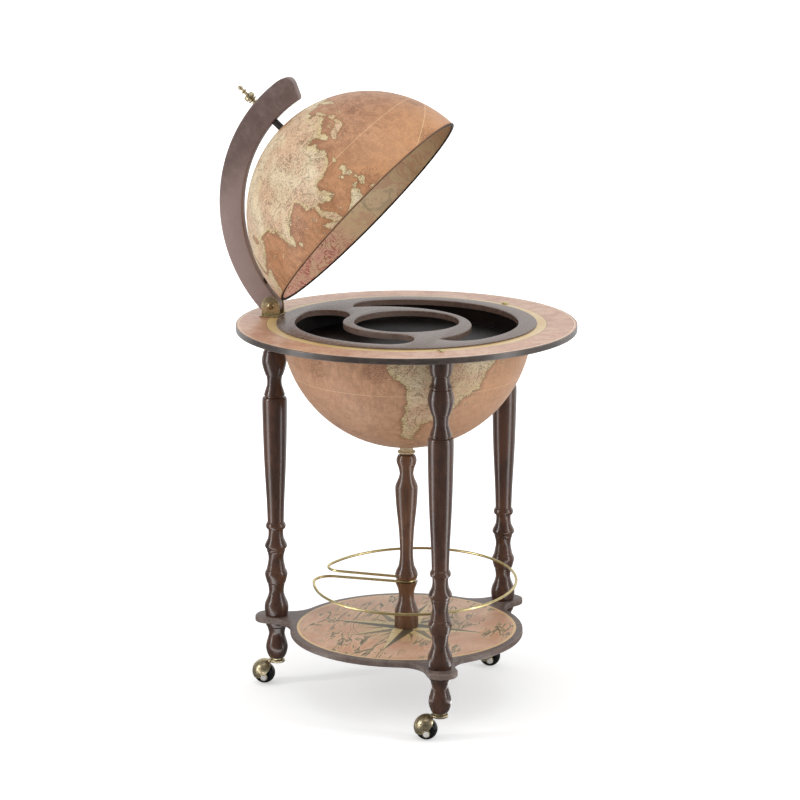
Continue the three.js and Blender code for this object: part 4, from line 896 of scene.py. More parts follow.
globe_radius = 206
globe_wall = 3
lands = [
    [(-9, 37), (-9, 43), (-2, 43.5), (-4, 48), (2, 51), (8, 54), (8, 57), (10.5, 59), (5, 60), (5, 62),
     (12, 66), (20, 70), (28, 71), (40, 67), (33, 66.5), (40, 64.5), (44, 68), (54, 68.5), (60, 69),
     (68, 69), (68, 73), (80, 73), (88, 75), (104, 77.5), (113, 74), (130, 71), (140, 72.5), (160, 70),
     (170, 69.5), (180, 68.5), (190, 66), (187, 64.5), (178, 62.5), (170, 60), (163, 59), (163, 56),
     (157, 51), (155.5, 56), (160, 61), (152, 59.5), (142, 59), (135.5, 54.5), (141, 53), (140, 48),
     (132, 43), (129, 41), (127.5, 39.5), (129.5, 36), (126.5, 34.5), (126, 38), (121.5, 40.5), (118, 39),
     (122, 37), (119.5, 35), (122, 31), (121, 28), (117, 23.5), (110.5, 21), (108, 21.5), (106, 18.5),
     (109, 12), (105, 9), (104.5, 10.5), (100.5, 13.5), (99.5, 10), (103.5, 4), (103.5, 1.4), (100.5, 5),
     (98.5, 9), (98, 14), (94.5, 16), (94, 19), (91.5, 22.7), (88, 21.5), (85, 19.5), (80, 15.5), (80, 11),
     (77.5, 8), (76, 11), (73, 17), (72.5, 21), (70, 21), (67, 24.5), (61, 25.3), (57, 26), (54, 26.5),
     (50.5, 30), (48, 30), (51, 25.5), (54, 24.5), (56.5, 26), (59.5, 22.5), (55, 17.5), (45, 13),
     (43, 13.5), (42.5, 16.5), (39, 21), (35, 28), (34.5, 31.5), (36, 36.5), (30, 36.5), (26.5, 38.5),
     (27, 40.5), (35, 42), (41, 41.3), (38, 47), (31, 46.5), (28.5, 43.5), (28, 41), (23.5, 40.3), (24, 38),
     (22.5, 36.7), (19.5, 40), (19.5, 42), (13.7, 45.5), (12.5, 44), (18.3, 40.2), (16, 38), (12, 41.7),
     (10, 44), (3, 43), (0, 39.5), (-2, 36.8), (-5.5, 36)],
    [(-6, 35.8), (0, 36), (10, 37), (11, 33.5), (20, 31), (22, 32.8), (32, 31), (34.5, 27.5), (37.3, 21),
     (39.5, 15.5), (43, 12), (51, 11.8), (48, 5), (42, -1.5), (39, -6), (40.5, -14.5), (35, -20), (35, -24),
     (32.5, -28), (27, -33.5), (19, -34.5), (17, -30), (14.5, -22.5), (12, -17), (13.5, -11), (9, -1),
     (9.5, 4), (5, 5.8), (-4, 5.2), (-8, 4.5), (-13, 8.5), (-17, 14.7), (-16.5, 21), (-13, 27.5),
     (-9.5, 30.5)],
    [(-168, 66), (-156, 71), (-141, 69.7), (-125, 70), (-110, 68), (-95, 68.5), (-94, 72), (-85, 69.5),
     (-81, 68), (-87, 64.5), (-94, 60), (-92, 57), (-82.5, 55), (-79, 51.5), (-79.5, 55), (-77, 62.5),
     (-65.5, 59.5), (-61, 55.5), (-56, 52), (-66, 50), (-64, 47), (-60, 46), (-66, 44), (-70.5, 42),
     (-74, 40.3), (-76, 36), (-81, 31.5), (-80.3, 26), (-82.5, 29), (-89, 30), (-97, 27.5), (-97.5, 22),
     (-95, 18.5), (-91, 18.8), (-90, 21.3), (-87, 21), (-88.5, 16), (-83.5, 15), (-83.5, 10.5),
     (-79.5, 9.5), (-77, 8.5), (-79, 7.5), (-83, 8.3), (-87.5, 12.8), (-95, 16), (-101, 17.3),
     (-105.5, 20.5), (-109, 25.5), (-113, 31.3), (-110, 23.2), (-115, 29.5), (-117.5, 33.5), (-122, 37),
     (-124, 42), (-124, 48), (-131, 54), (-140, 59.7), (-150, 60.5), (-156, 57.5), (-164, 54.7),
     (-158, 58.5), (-165, 61.5), (-161, 64.5)],
    [(-77, 8), (-71, 12), (-60, 10.5), (-46.5, 4.5), (-44, 0), (-37, -2.5), (-27, -5.5), (-26.5, -9),
     (-31, -13.5), (-33, -21.5), (-41, -25), (-43, -29), (-49, -34), (-54, -34.5), (-53, -38), (-58, -39),
     (-61.5, -41.5), (-63, -46), (-67, -51), (-64, -55), (-70, -55), (-75, -51), (-72.5, -43), (-73.5, -37),
     (-71, -30), (-70, -19), (-76, -14), (-82, -5), (-80.5, 1), (-77.5, 3.5)],
    [(-73, 78), (-60, 82), (-35, 83.5), (-20, 80.5), (-20, 73), (-27, 69), (-40, 64.5), (-45, 60),
     (-52, 65), (-55, 70.5), (-60, 76)],
    [(114, -22), (114, -34), (118, -35), (124, -33.5), (131, -31.5), (137, -35), (140.5, -38), (147, -38.8),
     (150, -37), (153.5, -30), (153, -25), (146, -19), (142.5, -11), (141, -17), (136, -15.5), (136.5, -12),
     (131, -12), (128, -15), (122.5, -17.5)],
    [(109, 1.5), (110.5, -2.5), (114.5, -3.8), (117.5, 0.8), (119, 5), (116.8, 7), (112.5, 3.2)],
    [(95.5, 5.5), (98.5, 3.5), (103.5, -0.5), (106, -3), (105.7, -5.7), (102, -4), (98.5, 0.8)],
    [(105.3, -6.8), (108.5, -6.6), (114.5, -7.5), (114, -8.6), (106.5, -7.5)],
    [(119, -3), (120, 0.7), (125, 1.3), (121, 0.3), (121.5, -2), (120.3, -5.5)],
    [(131, -1), (135, -3.3), (138, -1.7), (144.5, -4), (147.5, -6), (150.5, -10.5), (146.5, -8.8),
     (143, -9), (138.5, -8.2), (137.5, -5.2), (133, -4)],
    [(131, 34), (135, 33.7), (140, 35.2), (142, 39.5), (140.8, 41.3), (139.5, 38.5), (136, 36.5),
     (132, 35.5)], [(140.5, 42), (143.5, 42), (145.3, 43.5), (142, 45.3)],
    [(130, 31.5), (131.8, 32), (131, 33.9), (129.8, 33)],
    [(142, 46.2), (143, 49), (143, 54.2), (141.8, 51)], [(120.2, 23), (121, 22), (121.9, 25)],
    [(119.8, 18.6), (120.6, 16.6), (122.4, 17.4), (121.8, 18.8)],
    [(119.4, 15.6), (121.2, 15.6), (122.9, 13), (121.2, 12.7)],
    [(116.8, 15.4), (118.1, 14.4), (117.2, 13.6)], [(121.3, 11), (123, 11.4), (122.4, 9.8)],
    [(122.6, 9), (124.8, 8.6), (124, 6.4), (122.2, 7.6)], [(118.9, 8.7), (120.3, 7.6), (118.8, 7.1)],
    [(121.6, 6.6), (123, 6.2), (122.3, 5.2)], [(123.8, 2.5), (125.1, 1.9), (124, 0.9)],
    [(80, 8.5), (81.8, 7.5), (80.3, 6)],
    [(98.4, 13), (100, 9.8), (103.4, 5), (104, 1.4), (101.2, 3), (99.6, 6.5), (98, 9.5)],
    [(125.8, 38), (126.5, 34.5), (129.2, 35.3), (128.6, 38.6)],
    [(12, 44), (15.5, 41.8), (18.2, 40.2), (16, 38.2)],
    [(49.3, -12), (50.3, -16), (47, -25), (44, -24), (44.3, -17)],
    [(144.7, -41), (148.2, -41), (147, -43.5)], [(173, -35), (178, -37.8), (175, -41.5), (173.8, -39.3)],
    [(172.5, -40.7), (174, -42), (170.5, -46), (166.8, -46)],
    [(-5.5, 50), (1, 51), (0, 53), (-2, 56), (-3, 58.5), (-6, 57.5), (-3, 54), (-5, 52)],
    [(-10, 52), (-6.5, 52), (-6, 55), (-8.5, 55)], [(-24, 65.5), (-18, 66.3), (-14, 65), (-19, 63.4)],
    [(-90, 73.5), (-78, 73.5), (-66, 68), (-63, 65), (-70, 62.5), (-75, 65), (-73, 68), (-85, 70)],
    [(-84.5, 22), (-80, 23), (-74.5, 20.2), (-78, 20.3)], [(-74, 18.5), (-72, 19.8), (-68.5, 18.5)],
]


def inland(longitudes, latitudes):
    """How far inland each place lies, in degrees; below zero at sea."""
    best = np.full(len(longitudes), -60.0)
    for land in lands:
        corners = np.array(land, float)
        nexts = np.roll(corners, -1, axis=0)
        for turn in (0, 360):
            east = longitudes + turn
            squash = np.cos(np.radians(latitudes))
            nearest = np.full(len(east), 60.0)
            inside = np.zeros(len(east), bool)
            for (x0, y0), (x1, y1) in zip(corners, nexts):
                px, py = (east - x0) * squash, latitudes - y0
                ex, ey = (x1 - x0) * squash, np.full(len(east), y1 - y0)
                share = np.clip((px * ex + py * ey) / (ex * ex + ey * ey + 1e-9), 0, 1)
                nearest = np.minimum(nearest, np.hypot(px - share * ex, py - share * ey))
                if y0 != y1:
                    crosses = (latitudes > y0) != (latitudes > y1)
                    inside ^= crosses & (east < x0 + (latitudes - y0) * (x1 - x0) / (y1 - y0))
            small = corners.max(axis=0)[1] - corners.min(axis=0)[1] < 13 and len(land) < 13
            steep, lift = (3, 1.3) if small else (1, 0)
            best = np.maximum(best, lift + np.where(inside, nearest, -nearest * steep))
    south = -71 + 2.5 * np.sin(np.radians(3 * longitudes)) + 1.5 * np.sin(np.radians(7 * longitudes + 40))
    return np.maximum(best, south - latitudes)


def charted(thing, east_of):
    """Writes how far inland each point of a globe lies. Longitude 0 is east_of degrees round from +X."""
    places = np.array([tuple(v.co) for v in thing.data.vertices])
    away = np.linalg.norm(places, axis=1) + 1e-9
    latitudes = np.degrees(np.arcsin(np.clip(places[:, 2] / away, -1, 1)))
    longitudes = (np.degrees(np.arctan2(places[:, 1], places[:, 0])) - east_of + 180) % 360 - 180
    land = thing.data.attributes.new("inland", "FLOAT", "POINT")
    land.data.foreach_set("value", inland(longitudes, latitudes).astype(np.float32))


# Thin printed lines of latitude and longitude on a globe centred on its own origin
net, takes, end = effect("map lines", ["Start", "Width"], ["Tropic", "Meridian"])
parts = parts_of(steered("NORMALIZE", takes["Vector"])[0])
latitude = reckon("ABSOLUTE", reckon("ARCSINE", parts[2]))
around = reckon("SUBTRACT", reckon("ARCTAN2", parts[1], parts[0]), takes["Start"])
narrow = times(takes["Width"], 0.4)
circles = reckon("MINIMUM", *[off_from(latitude, math.radians(a)) for a in (23.4, 66.6)])
off_meridian = times(reckon("PINGPONG", around, math.radians(15)), reckon("COSINE", latitude))
nearest = reckon("MINIMUM", off_meridian, reckon("PINGPONG", latitude, math.radians(7.5)))
feed(end, {
    "Tropic": between(circles, takes["Width"], narrow),
    "Meridian": between(nearest, takes["Width"], narrow),
})


def globe_print(name, east_of, scraping, rim_light, faded, oblique=None):
    """Old map: rust sea, parchment land with an inked coast, hachured hills and fine lines."""
    material, own, shader = begun(name)
    parts = parts_of(own)
    sheet = placed(paper, own, 11, 330)
    lines = placed(net, own, math.radians(east_of), 0.0028)
    inland_of = put(own.id_data, "ShaderNodeAttribute", attribute_name="inland").outputs["Fac"]
    bays = varied(noise(own, 48, 5, 0.75), 7.0, -3.5)
    inlets = varied(noise(own, 210, 3, 0.7), 3.2, -1.6)
    shoals = times(between(noise(own, 15, 2, 0.5), 0.44, 0.52), band(inland_of, -9.0, -2.5, 1.0))
    islets = varied(noise(own, 105, 5, 0.72, 0.6), 40.0, -23.8)
    islets = added("ShaderNodeMix", {0: shoals, 2: -9.0, 3: islets})[0]
    coast = reckon("MAXIMUM", reckon("ADD", reckon("ADD", inland_of, bays), inlets), islets)
    blots = between(noise(own, 58, 5, 0.8, 0.5), 0.42, 0.6)
    grain = noise(own, 340, 3, 0.8)
    scraped = noise(own, (170, 170, 22), 3, 0.7, 0.4)
    off_level = between(reckon("ABSOLUTE", parts[2]), 0.02, 0.15)
    # Painted light: a rim light painted on the shell's -Y side below a height, at the share rim_light
    rim_light_mask = times(between(parts[1], 0.02, -0.15), between(parts[2], 0.12, 0.02))
    clusters = added("ShaderNodeTexVoronoi", {"Vector": own, "Scale": 13.0})["Distance"]
    clusters = varied(noise(own, (60, 60, 190), 3, 0.7), 0.6, clusters)
    strokes = between(noise(own, (300, 300, 1000), 3, 0.75), 0.48, 0.56)
    sea = coated(
        blended(off_level, (194, 136, 90), (190, 144, 112)),
        (sheet["Blotch"], 0.5, (208, 158, 122)),
        (blots, 0.55, (146, 98, 68)),
        (between(scraped, 0.5, 0.7), scraping, (138, 92, 64)),
        (between(scraped, 0.48, 0.32), scraping, (216, 172, 138)),
        (between(grain, 0.5, 0.66), 0.5, (124, 82, 58)),
    )
    sea = coated(
        blended(faded, sea, (222, 180, 152)),
        (rim_light_mask, rim_light, (232, 178, 132)),
        (times(between(clusters, 0.6, 0.52), strokes), 0.6, (104, 56, 40)),
    )
    hills = between(noise(own, 30, 4, 0.7), 0.36, 0.54)
    hachures = between(noise(own, 400, 4, 0.85), 0.5, 0.58)
    rivers = off_from(noise(own, 24, 5, 0.65, 0.8), 0.5)
    land = coated(
        blended(sheet["Blotch"], (220, 194, 154), (238, 220, 188)),
        (between(noise(own, 15, 4, 0.65), 0.44, 0.6), 0.6, (222, 176, 146)),
        (band(coast, 0.0, 1.6, 0.7), 0.6, (220, 202, 146)),
        (times(hachures, hills), 0.62, (112, 82, 52)),
        (between(rivers, 0.014, 0.005), 0.6, (112, 84, 58)),
        (between(grain, 0.5, 0.64), 0.36, (132, 100, 66)),
    )
    colour = coated(
        blended(between(coast, -0.12, 0.12), sea, land),
        (band(coast, -1.5, 0.0, 0.6), 0.35, (150, 100, 70)),
        (band(coast, -0.25, 0.15, 0.2), 0.75, (104, 76, 50)),
        (lines["Meridian"], 0.2, (116, 82, 58)),
        (lines["Tropic"], 0.75, (236, 204, 160)),
    )
    if oblique:
        off = steered("DOT_PRODUCT", steered("NORMALIZE", own)[0], oblique)["Value"]
        colour = coated(colour, (between(reckon("ABSOLUTE", off), 0.0034, 0.0014), 0.75, (240, 208, 160)))
    feed(shader, {
        "Base Color": coated(colour, (sheet["Fleck"], 0.16, (110, 76, 52))),
        "Roughness": varied(sheet["Fibre"], 0.16, 0.36),
        "Specular IOR Level": 0.35,
        "Normal": bumped(sheet["Fibre"], 0.00004),
    })
    return material


lower_east = -93
lower_print = globe_print("globe print, lower half", lower_east, 0.45, 0.25, 0.3)
lining = moulded("globe lining", (52, 44, 42), (66, 56, 52), 0.45, 700, 0.00005)
pole_flat = 12
shell_sides = 360
outer_rows = 92


def lined(shell):
    """Gives the inside of a shell its second material. The rows of its outside come first."""
    rows = [i // shell_sides for i in range(len(shell.data.polygons))]
    shell.data.polygons.foreach_set("material_index", [int(row >= outer_rows) for row in rows])


lip_radius = 211
lip_bottom = -3.8
lip_top = -1.8
inner_radius = globe_radius - globe_wall
outside = arc_run(
    globe_radius, -math.acos(pole_flat / globe_radius), math.asin(lip_bottom / globe_radius), 90)
inside = arc_run(
    inner_radius, math.asin(lip_top / inner_radius), -math.acos(pole_flat / inner_radius), 60)
lower_profile = [
    (rod_hole, outside[0][1]), *outside, (lip_radius, lip_bottom), (lip_radius, lip_top), *inside,
    (rod_hole, inside[-1][1]),
]
lower_half = fitted("globe_lower_half", spun(lower_profile, shell_sides, closed=True), spot(0, 0, ring_top),
                    "frame", "globe_print", "lower_hemisphere", lower_print, lining)
charted(lower_half, lower_east)
lined(lower_half)

# Bottle tray: a dark glossy moulding in two parts. The plate has a round hole for an ice bucket, a
# crescent for bottles and a bay for glasses, with deep rounded edges, and drops into the tub below it.

tray_top = ring_top + 2.3
tub_floor = tray_top - 34
tray_plastic = moulded("tray plastic", (102, 84, 75), (116, 97, 87), 0.2, 500, 0.000006, 0.24)
tub_plastic = moulded("tub plastic", (24, 20, 20), (34, 29, 28), 0.4, 500, 0.00004, 0.3)
tub_radius = 184
flange_under = ring_top - 1.5
tub_profile = eased([
    (0, tub_floor - 2), (tub_radius, tub_floor - 2), (tub_radius + 2, tub_floor), (190, flange_under),
    (lip_radius, flange_under), (lip_radius, ring_top), (188, ring_top), (tub_radius, tub_floor),
    (0, tub_floor),
], 0.6)
fitted("tray_tub_moulding", spun(tub_profile, 192), spot(0, 0, 0), "frame", "tray_plastic", "tray_tub",
       tub_plastic)

well_outer = 183
crescent_radius = 151
crescent_offset = 51
tip_angle = math.radians(78.3)
outer_half = math.radians(80)
nose_radius = well_outer * 0.995
nose_angle = math.radians(93)


def curve_to(start, control, end, steps=10):
    """A small curve from one point to another by way of a control point."""
    shares = [i / steps for i in range(steps + 1)]
    return [(start[0] * (1 - t) ** 2 + control[0] * 2 * t * (1 - t) + end[0] * t * t,
             start[1] * (1 - t) ** 2 + control[1] * 2 * t * (1 - t) + end[1] * t * t) for t in shares]


nose = polar(nose_radius, nose_angle)
crescent_outer = swing(0, 0, well_outer, -outer_half, outer_half)
crescent_inner = swing(-crescent_offset, 0, crescent_radius, tip_angle, -tip_angle)
crescent = joined(
    crescent_outer,
    curve_to(crescent_outer[-1], nose, crescent_inner[0]),
    crescent_inner,
    curve_to(crescent_inner[-1], (nose[0], -nose[1]), crescent_outer[0]),
)
bay_inner = 104.5
bay_half = math.radians(50.5)
bay_end = (well_outer - bay_inner) / 2
bay_middle = polar(well_outer - bay_end, bay_half)
bay = joined(
    swing(0, 0, well_outer, -bay_half, bay_half),
    swing(bay_middle[0], bay_middle[1], bay_end, bay_half, bay_half + math.pi),
    swing(0, 0, bay_inner, bay_half, -bay_half),
    swing(bay_middle[0], -bay_middle[1], bay_end, math.pi - bay_half, math.tau - bay_half),
)
bay = [p for i, p in enumerate(bay) if i or math.dist(p, bay[-1]) > 0.01]
plate_radius = 213.8
bucket_radius = 86
skirt_inset = 27.5
skirt_bottom = -9
flange_bottom = -2


def rolled(radius):
    """The profile of a top edge rounded over, going up and in."""
    return [(radius * (1 - math.cos(a)), radius * (math.sin(a) - 1)) for a in quarter(5)]


flange_edge = [
    (skirt_inset, skirt_bottom), (skirt_inset, flange_bottom - 0.6), (skirt_inset - 0.6, flange_bottom),
    (0.4, flange_bottom), (0, flange_bottom + 0.4), *rolled(1.5),
]
well_edge = [(0, skirt_bottom), *rolled(2.2)]
loops = [round_loop(0, 0, plate_radius), round_loop(0, 0, bucket_radius),
         turned_by(crescent, math.radians(-45)), turned_by(bay, math.radians(135))]
tray_plate = board(loops, [flange_edge] + [well_edge] * 3)
fitted("tray_plate_moulding", tray_plate, spot(0, 0, tray_top), "frame", "tray_plastic", "tray_plate",
       tray_plastic, sharp=50)

# Hinge: a brass plate screwed to the ring over the back leg, with two round-topped cheeks. A bolt with a
# domed head passes through the cheeks, two friction washers and the foot of the arm.

pin_out = 231.4
pin_up = 17
pin_height = ring_top + pin_up
plate_thick = 1.8
plate_bottom = piece_gap - pin_up
bolt_hole = 4.3
cheek_in = 10.4
cheek_thick = 2.5
cheek_half = 15.7
plate_half = 25.9


def rounded_box(half_x, half_y, radius):
    """A level rectangle with round corners."""
    quarters = enumerate(((1, 1), (-1, 1), (-1, -1), (1, -1)))
    return joined(*[swing(right * (half_x - radius), far * (half_y - radius), radius,
                          math.pi / 2 * i, math.pi / 2 * (i + 1)) for i, (right, far) in quarters])


def upright(shape, start):
    """Stands a drawing up in the hinge's plane: its axes run towards the hinge, up, and along the pin."""
    return [(start + z, x, y) for x, y, z in shape[0]], *shape[1:]


screw_x = plate_half - 5.5
screw_y = cheek_half - 5.5
screw_spots = {"front_left": (-screw_x, -screw_y), "front_right": (screw_x, -screw_y),
               "back_left": (-screw_x, screw_y), "back_right": (screw_x, screw_y)}
base_loops = [rounded_box(plate_half, cheek_half, 3)]
base_loops += [round_loop(x, y, 2.3) for x, y in screw_spots.values()]
base = board(base_loops, [rounded_edge(plate_thick, 0.5)] + [[(0, 0), (0, plate_thick)]] * 4)
cheek_loop = joined(
    [(-cheek_half, plate_bottom), (cheek_half, plate_bottom)],
    swing(0, 0, cheek_half, 0, math.pi),
)
cheek = board([cheek_loop, round_loop(0, 0, bolt_hole)],
              [rounded_edge(cheek_thick, 0.6), [(0, 0), (0, cheek_thick)]])
bracket = gathered(
    moved(base, shift=(0, 0, plate_bottom)),
    upright(cheek, -cheek_in - cheek_thick),
    upright(cheek, cheek_in),
)
pin_place = spot(0, pin_out, pin_height)
fitted("hinge_plate_and_cheeks", bracket, pin_place, "frame", "antique_brass", "hinge_bracket",
       antique_brass)
for name, (x, y) in screw_spots.items():
    screw_place = spot(x, pin_out + y, pin_height + plate_bottom + plate_thick + piece_gap)
    fitted(f"plate_screw_{name}", domed_screw(3.8, 1.6, 2, 10.9), screw_place, "frame", "antique_brass",
           f"bracket_screw_{name}", antique_brass)
crown_base = -13.2
crown_height = 4
crown_radius = 6.3
bolt_radius = 4
bolt_end = 18.9
bolt_profile = eased([
    *[(crown_radius * math.sin(a), crown_base - crown_height * math.cos(a)) for a in quarter(10)],
    (bolt_radius, crown_base), (bolt_radius, bolt_end), (0, bolt_end),
], 0.3)
bolt = moved(spun(bolt_profile, 48), aimed((1, 0, 0)))
fitted("domed_bolt", bolt, pin_place, "frame", "antique_brass", "hinge_bolt", antique_brass)

# Lid: the upper half of the globe, the same printed shell with a drawn chart on its inside and a dark
# edging on its rim. It is drawn closed about the globe's centre and stands open by 48 degrees.

open_by = math.radians(48)
lid_radius = 200
lid_wall = 3
lid_place = (pin_place @ Matrix.Rotation(-open_by, 4, "X")
             @ Matrix.Translation((0, -pin_out / 1000, -pin_up / 1000)))
lid_east = 84.4
lid_print = globe_print("globe print, lid", lid_east, 0.2, 0.38, 0.0, (0.3272, -0.2238, -0.9181))

chart, own, shader = begun("chart inside the lid")
sheet = placed(paper, own, 9, 300)
lines = placed(net, own, 0.3, 0.003)
forward = parts_of(own)[1]
near_hinge = between(forward, 0.08, 0.15)
washes = noise(own, 22, 4, 0.65, 2.2)
swirls = off_from(noise(own, 26, 3, 0.6, 3.0), 0.5)
strokes = between(noise(own, (500, 220, 420), 3, 0.75), 0.54, 0.62)
clusters = added("ShaderNodeTexVoronoi", {"Vector": own, "Scale": 16.0})["Distance"]
feed(shader, {
    "Base Color": coated(
        blended(sheet["Blotch"], (236, 212, 168), (250, 232, 196)),
        # Painted shade: the chart darker towards the edge away from the hinge
        (between(forward, -0.06, -0.17), 0.6, (166, 142, 112)),
        (between(washes, 0.5, 0.56), 0.4, (226, 172, 150)),
        (times(between(washes, 0.6, 0.44), near_hinge), 0.75, (232, 160, 152)),
        (times(between(swirls, 0.03, 0.012), near_hinge), 0.85, (176, 62, 60)),
        (between(washes, 0.42, 0.36), 0.35, (168, 160, 132)),
        (lines["Meridian"], 0.5, (122, 98, 72)),
        (lines["Tropic"], 0.6, (150, 84, 62)),
        (times(strokes, between(clusters, 0.3, 0.18)), 0.6, (96, 78, 58)),
        (sheet["Fleck"], 0.3, (128, 106, 80)),
    ),
    "Roughness": varied(sheet["Fibre"], 0.15, 0.42),
    "Normal": bumped(sheet["Fibre"], 0.00004),
})
shell_bottom = 5.1
pole_hole = 3.3
lid_inner = lid_radius - lid_wall
outside = arc_run(lid_radius, math.asin(shell_bottom / lid_radius), math.acos(pole_flat / lid_radius), 90)
inside = arc_run(lid_inner, math.acos(pole_flat / lid_inner), math.asin(shell_bottom / lid_inner), 60)
lid_profile = [*outside, (pole_hole, outside[-1][1]), (pole_hole, inside[0][1]), *inside]
lid_shell = fitted("globe_lid", spun(lid_profile, shell_sides, closed=True), lid_place,
                   "lid", "globe_print", "upper_hemisphere", lid_print, chart)
charted(lid_shell, lid_east)
lined(lid_shell)

edge_trim = moulded("rim edging", (34, 24, 20), (50, 37, 30), 0.5, 800, 0.00004, 0.2)
tree = edge_trim.node_tree
shader = next(node for node in tree.nodes if node.type == "BSDF_PRINCIPLED")
out, flat = from_axis(tree.nodes.new("ShaderNodeTexCoord").outputs["Object"])
paper_over = times(between(out, 0.2, 0.2004), between(flat[2], 0.0032, 0.0036))
dark_edge = shader.inputs["Base Color"].links[0].from_socket
feed(shader, {"Base Color": coated(dark_edge, (paper_over, 1, (168, 122, 88)))})
rim_inner = 195.4
rim_outer = 200.6
rim_low = 2.6
rim_high = 4.8
edging_profile = eased([
    (rim_inner, rim_low), (rim_outer, rim_low), (rim_outer, rim_high), (rim_inner, rim_high),
], 0.7, closed=True)
edging = spun(edging_profile, 256, closed=True)
fitted("rim_edging", edging, lid_place, "lid", "edge_trim", "lid_rim", edge_trim)

# Meridian arm: sawn from an 18 mm board to a crescent, its edges rounded, and lacquered a dull
# purple-brown. Its round foot turns on the hinge bolt.

arm_thick = 18
arm_inner = 217.5
arm_outer = 255.7
outer_x = -5.2
outer_y = 5.7
foot_arc = 14.45
arm_hole = 4.1
rest_normal = Vector((math.sin(open_by), -math.cos(open_by)))
rest_along = Vector((-rest_normal.y, rest_normal.x))
pin_spot = Vector((pin_out, pin_up))
outer_centre = Vector((outer_x, outer_y))


def meets(start, direction):
    """Where a ray meets the arm's outer arc."""
    away = start - outer_centre
    half = away.dot(direction)
    return start + direction * (-half + math.sqrt(half * half - away.length_squared + arm_outer ** 2))


def outer_angle(place):
    return math.atan2(place.y - outer_centre.y, place.x - outer_centre.x)


rest_start = pin_spot + rest_normal * foot_arc
rest_end = meets(rest_start, rest_along)
tip_at = math.radians(105.9)
tip_along = math.radians(116.6)
inner_tip = Vector(polar(arm_inner, tip_at))
end_along = Vector(polar(1, tip_along))
outer_tip = meets(inner_tip, end_along)
tip_rounding = 27
tip_end = outer_angle(outer_tip) - tip_rounding / arm_outer
outer_arc = swing(outer_x, outer_y, arm_outer, outer_angle(rest_end), tip_end)
inner_arc = swing(0, 0, arm_inner, tip_at - 6 / arm_inner, math.radians(8))
arm_loop = joined(
    [tuple(rest_start)],
    outer_arc,
    curve_to(outer_arc[-1], outer_tip, outer_tip - end_along * 20),
    curve_to(inner_tip + end_along * 6, inner_tip, inner_arc[0], 6),
    inner_arc,
    swing(pin_out, pin_up, foot_arc, math.pi, math.atan2(rest_normal.y, rest_normal.x) + math.tau),
)
arm_shape = board([arm_loop, round_loop(pin_out, pin_up, arm_hole)],
                  [rounded_edge(arm_thick, 1.8), [(0, 0), (0, arm_thick)]])

arm_wood, own, shader = begun("arm lacquer")
fibres = noise(own, 160, 4, 0.6, 0.3)
fades = noise(own, 8, 3, 0.6)
feed(shader, {
    "Base Color": coated(
        blended(between(fibres, 0.35, 0.68), (150, 127, 123), (155, 132, 128)),
        (between(fades, 0.35, 0.75), 0.3, (162, 140, 135)),
        # Painted shade: the arm darker towards its upper end
        (between(parts_of(own)[2], 0.17, 0.24), 0.9, (92, 72, 67)),
        (placed(edge_wear, own, 0.535)[0], 0.5, (160, 142, 136)),
    ),
    "Roughness": varied(fades, 0.1, 0.36),
    "Specular IOR Level": 0.4,
    "Normal": bumped(fibres, 0.00002),
})
fitted("wooden_arm", upright(arm_shape, -arm_thick / 2), lid_place, "lid", "arm_wood", "meridian_arm",
       arm_wood)

# Finial: turned brass, screwed through the arm's end and the lid at the globe's north pole.

finial_length = 38.5
finial_radius = 8.9
finial_seat = outer_centre.y + math.sqrt(arm_outer ** 2 - outer_x ** 2) + piece_gap
finial_stretches = [
    [(0, 0.6), (0.05, 0.6)], [(0.07, 0.38), (0.12, 0.36)], [(0.14, 0.8), (0.165, 0.89), (0.19, 0.8)],
    [(0.2, 0.55), (0.235, 0.55)], [(0.25, 0.92), (0.3, 1), (0.4, 0.97), (0.43, 1), (0.45, 0.9)],
    [(0.46, 0.42), (0.52, 0.28)], [(0.55, 0.36), (0.58, 0.26)],
    [(0.62, 0.26), (0.66, 0.5), (0.7, 0.52), (0.73, 0.28)],
    [(0.79, 0.22), (0.83, 0.36), (0.9, 0.44), (0.97, 0.3), (1, 0.05)],
]
stud_low = 182.1
stud_radius = 3
finial_profile = eased([
    (0, stud_low), (stud_radius, stud_low), (stud_radius, finial_seat),
    *turning(finial_stretches, finial_seat, finial_length, finial_radius), (0, finial_seat + finial_length),
], 0.3)
fitted("turned_finial", spun(finial_profile, 48), lid_place, "lid", "bright_brass", "finial", caster_brass)

# Hidden fixings: the tie rod, studs, nuts, washers and spacers keep their plain CAD shapes and get
# the plating or plastic that each is made in.

finishes = (
    (zinc_steel, ("leg_stud", "column_rod", "column_washer", "column_nut", "pole_washer", "pole_nut",
                  "rim_screw", "leg_screw_back", "caster_axle")),
    (black_plastic, ("pole_sleeve", "rim_spacer", "hinge_washer")),
    (antique_brass, ("hinge_nut",)),
)
for name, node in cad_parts.items():
    for finish, starts in finishes:
        if name.startswith(starts):
            node.data.materials.clear()
            node.data.materials.append(finish)

# Studio: a pale floor that keeps the bar's shadow, a tall lamp on each side with a painted reflection of it
# glowing in a floor strip before it, a soft lamp overhead, and the camera where the photographer stood.

left_lamp = (-1.6, 2.35, 1.4)
right_lamp = (-0.35, -2.85, 1.4)
white = (1, 1, 1, 1)


def lit(strength, kind="ShaderNodeEmission"):
    """White light of a strength."""
    return added(kind, {"Color": white, "Strength": strength})[0]


def rays(tree):
    """Whether a ray comes straight from the camera, and whether it comes by way of a gloss or a glass."""
    path = tree.nodes.new("ShaderNodeLightPath").outputs
    return path["Is Camera Ray"], reckon("MAXIMUM", path["Is Glossy Ray"], path["Is Transmission Ray"])


